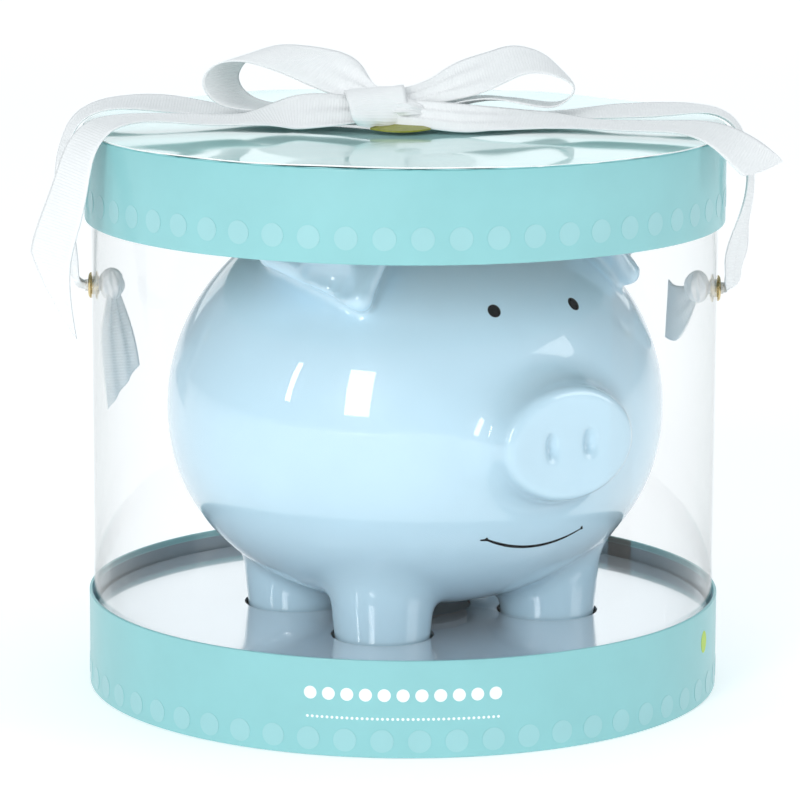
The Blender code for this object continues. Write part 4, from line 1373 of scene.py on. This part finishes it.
class PIGGY_OT_ribbons(bpy.types.Operator):
    """Lays the ribbon straps, the bow and the knotted ends inside the sleeve"""

    bl_idname = "piggy.ribbons"
    bl_label = "Ribbons and bow"

    tail_cut: FloatProperty(name="Left tail cut", description="Length of the left tail's slanted cut",
                            default=23 * MM, unit="LENGTH")
    tail_cut_right: FloatProperty(name="Right tail cut", description="Length of the right tail's slanted cut",
                                  default=10 * MM, unit="LENGTH")
    end_cut: FloatProperty(name="End cut", description="Length of the inner end's slanted cut",
                           default=13 * MM, unit="LENGTH")

    def execute(self, context):
        for side, stops in (("left", STRAP_LEFT), ("right", STRAP_RIGHT)):
            made = ribbon_piece(f"ribbon_strap_{side}", stops, None, [f"strap_{side}"])
            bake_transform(made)
        for name, stops, node in (("bow_left_loop", LOOP_LEFT, "bow_loop_left"),
                                  ("bow_right_loop", LOOP_RIGHT, "bow_loop_right")):
            ribbon_piece(name, stops, "lid", [node])
        ribbon_piece("bow_left_tail", TAIL_LEFT, "lid", ["bow_tail_left"],
                     cut=self.tail_cut)
        ribbon_piece("bow_right_tail", TAIL_RIGHT, "lid", ["bow_tail_right"],
                     cut=self.tail_cut_right, from_front=True)
        for side, sign, stops, cut in (("left", -1, END_LEFT, self.end_cut), ("right", 1, END_RIGHT, 0.0)):
            gathered_ball(f"ribbon_stop_{side}", (sign * 89.2 * MM, 0, 122 * MM),
                          (3.6 * MM, 4.7 * MM, 5.0 * MM), 5, 0.10, "drum", [f"ribbon_end_{side}"], axis="Z")
            ribbon_piece(f"ribbon_inner_{side}", stops, "drum", [], cut=cut,
                         gather=0.75 if side == "left" else 0.4)
            self.neck(side, sign)
        gathered_ball("bow_centre", BOW_CENTRE, (7.0 * MM, 6.8 * MM, 3.7 * MM), 9, 0.09, "lid", ["bow_knot"])
        ribbon_piece("bow_wrap", WRAP, "lid", [], gather=0.7)
        self.tie()
        return {"FINISHED"}

    def neck(self, side, sign):
        """The rolled ribbon that passes through an eyelet."""
        columns, rows = 28, 12
        around = np.arange(columns) * math.tau / columns
        radius = 1.75 * MM * (1 + 0.12 * np.sin(4 * around))
        start, end = 90.5 * MM, 97.2 * MM
        points = []
        for x in np.linspace(start, end, rows):
            points += [(sign * x, r * math.cos(a), EYELET_HEIGHT + r * math.sin(a))
                       for r, a in zip(radius, around)]
        faces = [tuple(f) for f in grid_faces(rows, columns, wrap_columns=True)]
        faces += [tuple(range(columns)), tuple((rows - 1) * columns + i for i in range(columns))]
        made = mesh_piece(f"ribbon_neck_{side}", points, faces, ["ribbon"], None, turn=DRUM)
        made.data.uv_layers.new(name="ribbon")
        face_out(made)
        soften(enter(made, "drum"))

    def tie(self):
        """An olive band round the bow's middle, and its flattened ends on the lid."""
        steps, wide = 96, 5.1 * MM
        angles = np.arange(steps) * math.tau / steps
        across = np.linspace(-0.5, 0.5, 7)
        half = 0.22 * MM
        points = []
        for a in angles:
            out = np.array((0, math.cos(a), math.sin(a)))
            at = np.array(BOW_CENTRE) + np.array((0, 5.2 * out[1], 2.3 * out[2])) * MM
            crease = 0.25 * MM * np.cos(across * math.tau * 1.5)
            ring = [at + np.array((u * wide, 0, 0)) + out * (half + c) for u, c in zip(across, crease)]
            ring += [at + np.array((u * wide, 0, 0)) + out * (c - half)
                     for u, c in zip(across[::-1], crease[::-1])]
            points += ring
        faces = grid_faces(steps, 2 * len(across), True, True)
        made = mesh_piece("olive_tie_band", points, faces, ["tie"], None, turn=DRUM)
        face_out(made)
        soften(enter(made, "lid", ["bow_tie"]), 50)
        # The ends lie flat in front of the knot, pointed at both tips.
        t = np.linspace(-1, 1, 41)
        half_wide = 3.4 * MM * (1 - np.abs(t) ** 2.0) + 0.15 * MM
        centre = np.stack([-1.5 * MM + 9 * MM * t, (-22.6 - 0.5 * t**2) * MM, 173.0 * MM - 0.2 * MM * t**2], -1)
        points = []
        for place, reach in zip(centre, half_wide):
            for u, side in ((-1, 1), (0, 1), (1, 1), (1, -1), (0, -1), (-1, -1)):
                points.append(place + np.array((0, u * reach, 0.22 * u * reach + side * half)))
        faces = [tuple(f) for f in grid_faces(len(t), 6, wrap_columns=True)]
        faces += [tuple(range(6)), tuple((len(t) - 1) * 6 + i for i in range(6))]
        made = mesh_piece("olive_tie_ends", points, faces, ["tie"], None, turn=DRUM)
        face_out(made)
        soften(enter(made, "lid"), 30)


class PIGGY_PT_panel(bpy.types.Panel):
    """Lists the pieces and their sizes in the sidebar"""

    bl_idname = "PIGGY_PT_panel"
    bl_label = "Piggy Bank"
    bl_space_type = "VIEW_3D"
    bl_region_type = "UI"
    bl_category = "Piggy Bank"

    def draw(self, context):
        for group in GROUPS:
            box = self.layout.box()
            for label in getattr(context.scene, group).bl_rna.properties.keys():
                if label not in ("rna_type", "name"):
                    box.prop(getattr(context.scene, group), label)
        for operator in OPERATORS:
            self.layout.operator(operator.bl_idname)


GROUPS = {
    "piggy_drum": DrumSettings,
    "piggy_ribbon": RibbonSettings,
    "piggy_pig": PigSettings,
    "piggy_colours": ColourSettings,
}
OPERATORS = (
    PIGGY_OT_stage, PIGGY_OT_drum, PIGGY_OT_lid, PIGGY_OT_prints, PIGGY_OT_eyelets, PIGGY_OT_ribbons,
    PIGGY_OT_pig, PIGGY_OT_face, PIGGY_OT_stopper,
)


def register():
    for kind in (*GROUPS.values(), *OPERATORS, PIGGY_PT_panel):
        bpy.utils.register_class(kind)
    for name, kind in GROUPS.items():
        setattr(bpy.types.Scene, name, PointerProperty(type=kind))


def unregister():
    for name in GROUPS:
        delattr(bpy.types.Scene, name)
    for kind in reversed((*GROUPS.values(), *OPERATORS, PIGGY_PT_panel)):
        bpy.utils.unregister_class(kind)


def main():
    register()
    bpy.ops.piggy.stage()
    bpy.ops.piggy.drum()
    bpy.ops.piggy.lid()
    bpy.ops.piggy.prints()
    bpy.ops.piggy.eyelets()
    bpy.ops.piggy.ribbons()
    bpy.ops.piggy.pig()
    bpy.ops.piggy.face()
    bpy.ops.piggy.stopper()


if __name__ == "__main__":
    main()
